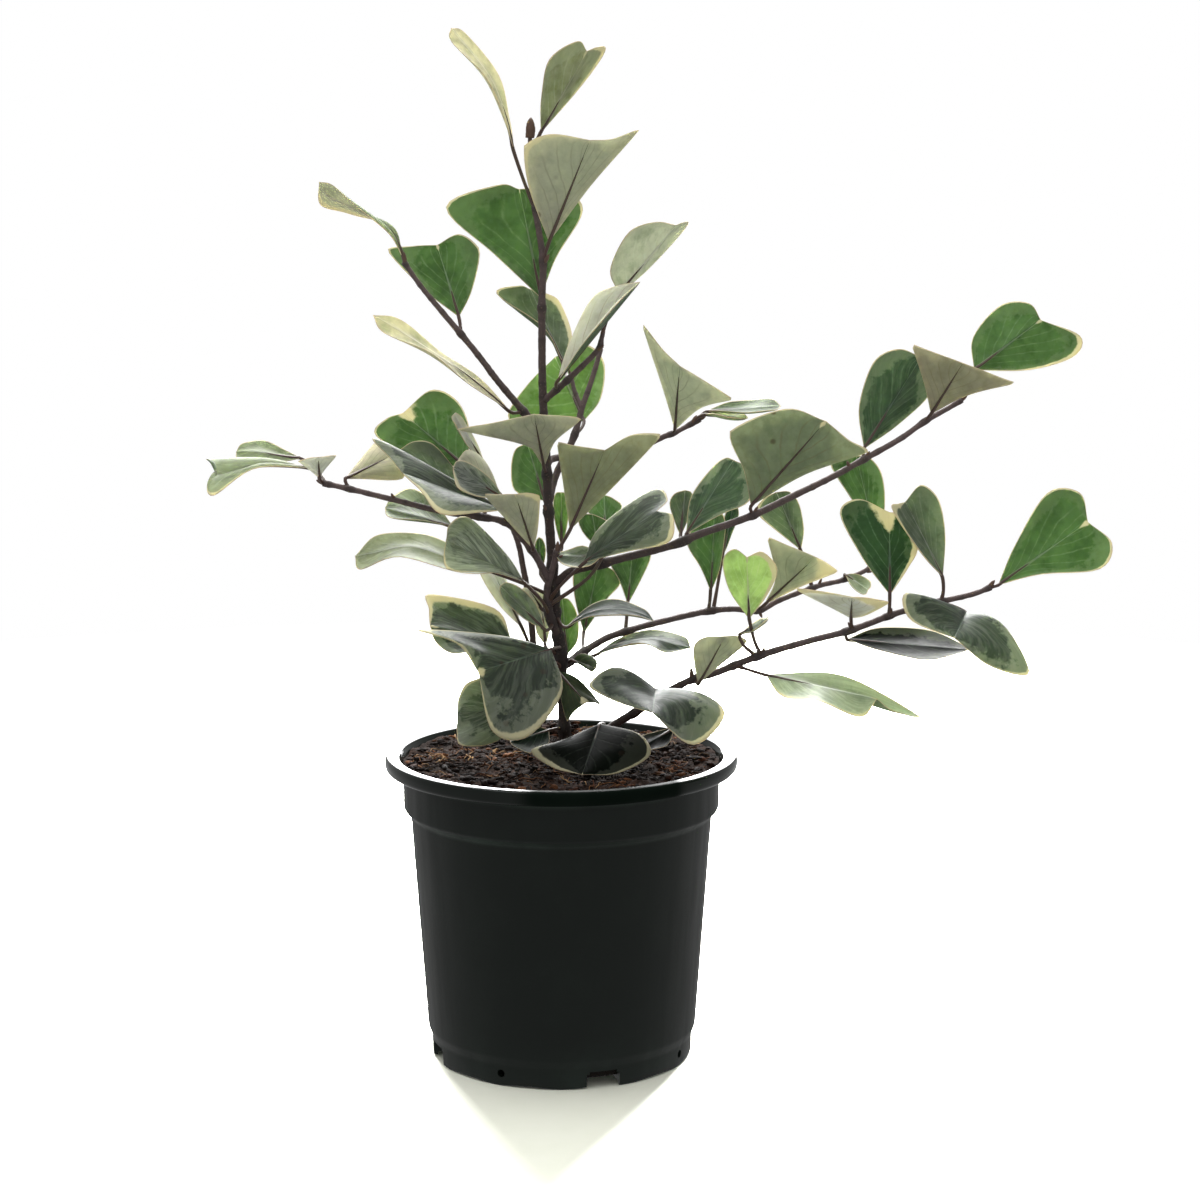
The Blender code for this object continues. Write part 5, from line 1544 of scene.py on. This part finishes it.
def litter_material(settings):
    """Crumbs, chips and fibres, each in its own brown, with damp dark patches among them."""
    made = bpy.data.materials.get("soil_litter")
    if made:
        return made
    material, sketch = new_material("soil_litter")
    grain = sketch.grain(1100.0, 1.0, 300.0)
    damp = sketch.noise(sketch.place(), 42.0, 3.0, 0.55).step(0.42, 0.6)
    colour = sketch.layers(
        sketch.attribute("tone")["Color"],
        (grain["Grain"] * 0.5, rgba(settings.soil_colour)),
        (damp, paint(24, 17, 14)),
    )
    sketch.surface(colour, 0.88, sketch.bump(grain["Height"], 0.5 * MM), gloss=0.1)
    return material


# Stage


def floor_material(settings):
    """A pale matt floor that fades away at its edge."""
    material, sketch = new_material("pale_floor")
    grain = sketch.grain(60.0, 1.0, 3.0)
    colour = sketch.mix(grain["Grain"], rgba((0.84, 0.86, 0.73)), rgba((0.9, 0.91, 0.8)))
    away = sketch.node("ShaderNodeVectorMath", {0: sketch.place()}, operation="LENGTH")["Value"]
    alpha = away.fade(settings.floor_radius * 0.55, settings.floor_radius)
    sketch.surface(colour, 0.8, gloss=0.2, alpha=alpha)
    return material


def add_panel(panel, settings, floor_only):
    """A soft light panel that the camera doesn't show. Those on the floor's power light the floor alone."""
    light = bpy.data.lights.new(panel.name, "AREA")
    light.shape = "RECTANGLE"
    light.size, light.size_y = panel.size
    light.energy = getattr(settings, panel.setting) * panel.share
    made = link_new(panel.name, light)
    made.location = panel.place
    made.rotation_euler = (Vector(panel.aim) - Vector(panel.place)).to_track_quat("-Z", "Y").to_euler()
    made.visible_camera = False
    if panel.setting == "floor_power":
        made.light_linking.receiver_collection = floor_only


def build_stage(settings):
    """The camera, the pale floor, the light panels and the white surround."""
    scene = bpy.context.scene
    scene.view_settings.view_transform = "Standard"
    lens = bpy.data.cameras.new("photograph")
    lens.sensor_width = SENSOR
    lens.lens = FOCAL_LENGTH * SENSOR / (2 * PHOTO_CENTRE)
    camera = link_new("photograph", lens)
    camera.location = EYE
    camera.rotation_euler = (math.pi / 2 - EYE_DOWN, 0.0, -EYE_RIGHT)
    scene.camera = camera
    shape = bmesh.new()
    bmesh.ops.create_circle(shape, cap_ends=True, segments=FLOOR_SIDES, radius=settings.floor_radius)
    floor = link_new("pale_floor", mesh_of(shape, "pale_floor"))
    floor.data.materials.append(floor_material(settings))
    floor.visible_diffuse = False
    floor.visible_glossy = False
    floor_only = bpy.data.collections.new("floor_light")
    floor_only.objects.link(floor)
    for panel in PANELS:
        add_panel(panel, settings, floor_only)
    world = bpy.data.worlds.new("surround")
    scene.world = world
    world.use_nodes = True
    world.node_tree.nodes.clear()
    sketch = Sketch(world.node_tree)
    fill = sketch.node("ShaderNodeBackground", {"Color": rgba(WHITE), "Strength": settings.fill})
    white = sketch.node("ShaderNodeBackground", {"Color": rgba(WHITE), "Strength": 1.0})
    seen_ray = sketch.node("ShaderNodeLightPath")["Is Camera Ray"]
    both = sketch.node("ShaderNodeMixShader", {0: seen_ray, 1: fill[0], 2: white[0]})
    sketch.node("ShaderNodeOutputWorld", {"Surface": both[0]})


# Settings, operators and panel


def colour_setting(name, description, *tone):
    """A colour for the panel, with its default as a display colour."""
    return bpy.props.FloatVectorProperty(
        name=name, description=description, default=linear(*tone), size=3, subtype="COLOR", min=0.0, max=1.0)


def power_setting(name, description, watts):
    """A light's power for the panel."""
    return bpy.props.FloatProperty(name=name, description=description, default=watts, unit="POWER")


class FIG_PG_leaves(bpy.types.PropertyGroup):
    """Sizes and colours of the leaves and stems."""

    thickness: bpy.props.FloatProperty(
        name="Thickness", description="Thickness of a leaf blade", default=0.5 * MM, unit="LENGTH")
    edge_wave: bpy.props.FloatProperty(
        name="Edge wave", description="How far the leaf edges wave", default=0.45 * MM, unit="LENGTH")
    cream_width: bpy.props.FloatProperty(
        name="Cream width", description="How wide the creamy margins are", default=0.75, min=0.0)
    cream_colour: colour_setting("Cream", "Colour of the variegated margins", 206, 202, 172)
    # The rim colour is partly the margin's own and partly painted glow of the light from behind
    rim_colour: colour_setting("Rim", "Colour of the thin leaf rim", 206, 184, 156)
    bark_colour: colour_setting("Bark", "Colour of the old bark", 26, 19, 18)


class FIG_PG_pot(bpy.types.PropertyGroup):
    """Colours of the pot and soil, and how much litter lies on the soil."""

    pot_colour: colour_setting("Pot", "Colour of the pot's plastic", 9, 16, 11)
    soil_colour: colour_setting("Soil", "Colour of the damp peat", 26, 19, 15)
    crumb_count: bpy.props.IntProperty(
        name="Crumbs", description="How many crumbs lie on the soil", default=3400, min=0)
    fibre_count: bpy.props.IntProperty(
        name="Fibres", description="How many fibres lie on the soil", default=420, min=0)


class FIG_PG_stage(bpy.types.PropertyGroup):
    """The floor and the lights."""

    floor_radius: bpy.props.FloatProperty(
        name="Floor radius", description="Radius of the pale floor", default=1.1, unit="LENGTH")
    back_power: power_setting("Back light", "Power of the panel behind", 72.0)
    top_power: power_setting("Top light", "Power of the panel above", 14.0)
    floor_power: power_setting("Floor light", "Power of the panels that light the floor alone", 400.0)
    fill: bpy.props.FloatProperty(
        name="Fill", description="Brightness of the surround as light", default=0.6, min=0.0)


class FIG_OT_stage(bpy.types.Operator):
    """Set up the floor, the lights and the camera"""

    bl_idname = "fig.stage"
    bl_label = "Stage"

    def execute(self, context):
        build_stage(context.scene.fig_stage)
        return {"FINISHED"}


class FIG_OT_pot(bpy.types.Operator):
    """Build the nursery pot"""

    bl_idname = "fig.pot"
    bl_label = "Nursery pot"

    def execute(self, context):
        build_pot(context.scene.fig_pot)
        return {"FINISHED"}


class FIG_OT_soil(bpy.types.Operator):
    """Build the potting soil"""

    bl_idname = "fig.soil"
    bl_label = "Potting soil"

    def execute(self, context):
        build_soil(context.scene.fig_pot)
        return {"FINISHED"}


class FIG_OT_litter(bpy.types.Operator):
    """Scatter crumbs and fibres on the soil"""

    bl_idname = "fig.litter"
    bl_label = "Crumbs and fibres"

    def execute(self, context):
        build_crumbs(context.scene.fig_pot)
        build_fibres(context.scene.fig_pot)
        return {"FINISHED"}


class FIG_OT_leafy_stems(bpy.types.Operator):
    """Build every stem with its leaves and buds"""

    bl_idname = "fig.leafy_stems"
    bl_label = "Leafy stems"

    def execute(self, context):
        settings = context.scene.fig_leaves
        materials = [
            leaf_face_material("leaf_upper", settings, under=False),
            leaf_face_material("leaf_under", settings, under=True),
            leaf_rim_material(settings),
            stalk_material(),
            bark_material(settings),
            bud_material(),
        ]
        for number, stem in enumerate(STEMS):
            build_leafy_stem(stem, settings, materials, number)
        return {"FINISHED"}


OPERATORS = (FIG_OT_stage, FIG_OT_pot, FIG_OT_soil, FIG_OT_litter, FIG_OT_leafy_stems)
SETTINGS = (("fig_leaves", FIG_PG_leaves), ("fig_pot", FIG_PG_pot), ("fig_stage", FIG_PG_stage))


class FIG_PT_panel(bpy.types.Panel):
    """Lists the settings and the builders"""

    bl_label = "Potted triangle fig"
    bl_idname = "FIG_PT_panel"
    bl_space_type = "VIEW_3D"
    bl_region_type = "UI"
    bl_category = "Triangle fig"

    def draw(self, context):
        for field, group in SETTINGS:
            box = self.layout.box()
            for label in group.__annotations__:
                box.prop(getattr(context.scene, field), label)
        for operator in OPERATORS:
            self.layout.operator(operator.bl_idname)


def register():
    for field, group in SETTINGS:
        bpy.utils.register_class(group)
        setattr(bpy.types.Scene, field, bpy.props.PointerProperty(type=group))
    for operator in OPERATORS:
        bpy.utils.register_class(operator)
    bpy.utils.register_class(FIG_PT_panel)


def unregister():
    bpy.utils.unregister_class(FIG_PT_panel)
    for operator in reversed(OPERATORS):
        bpy.utils.unregister_class(operator)
    for field, group in reversed(SETTINGS):
        delattr(bpy.types.Scene, field)
        bpy.utils.unregister_class(group)


def main():
    register()
    bpy.ops.fig.stage()
    bpy.ops.fig.pot()
    bpy.ops.fig.soil()
    bpy.ops.fig.litter()
    bpy.ops.fig.leafy_stems()


if __name__ == "__main__":
    main()
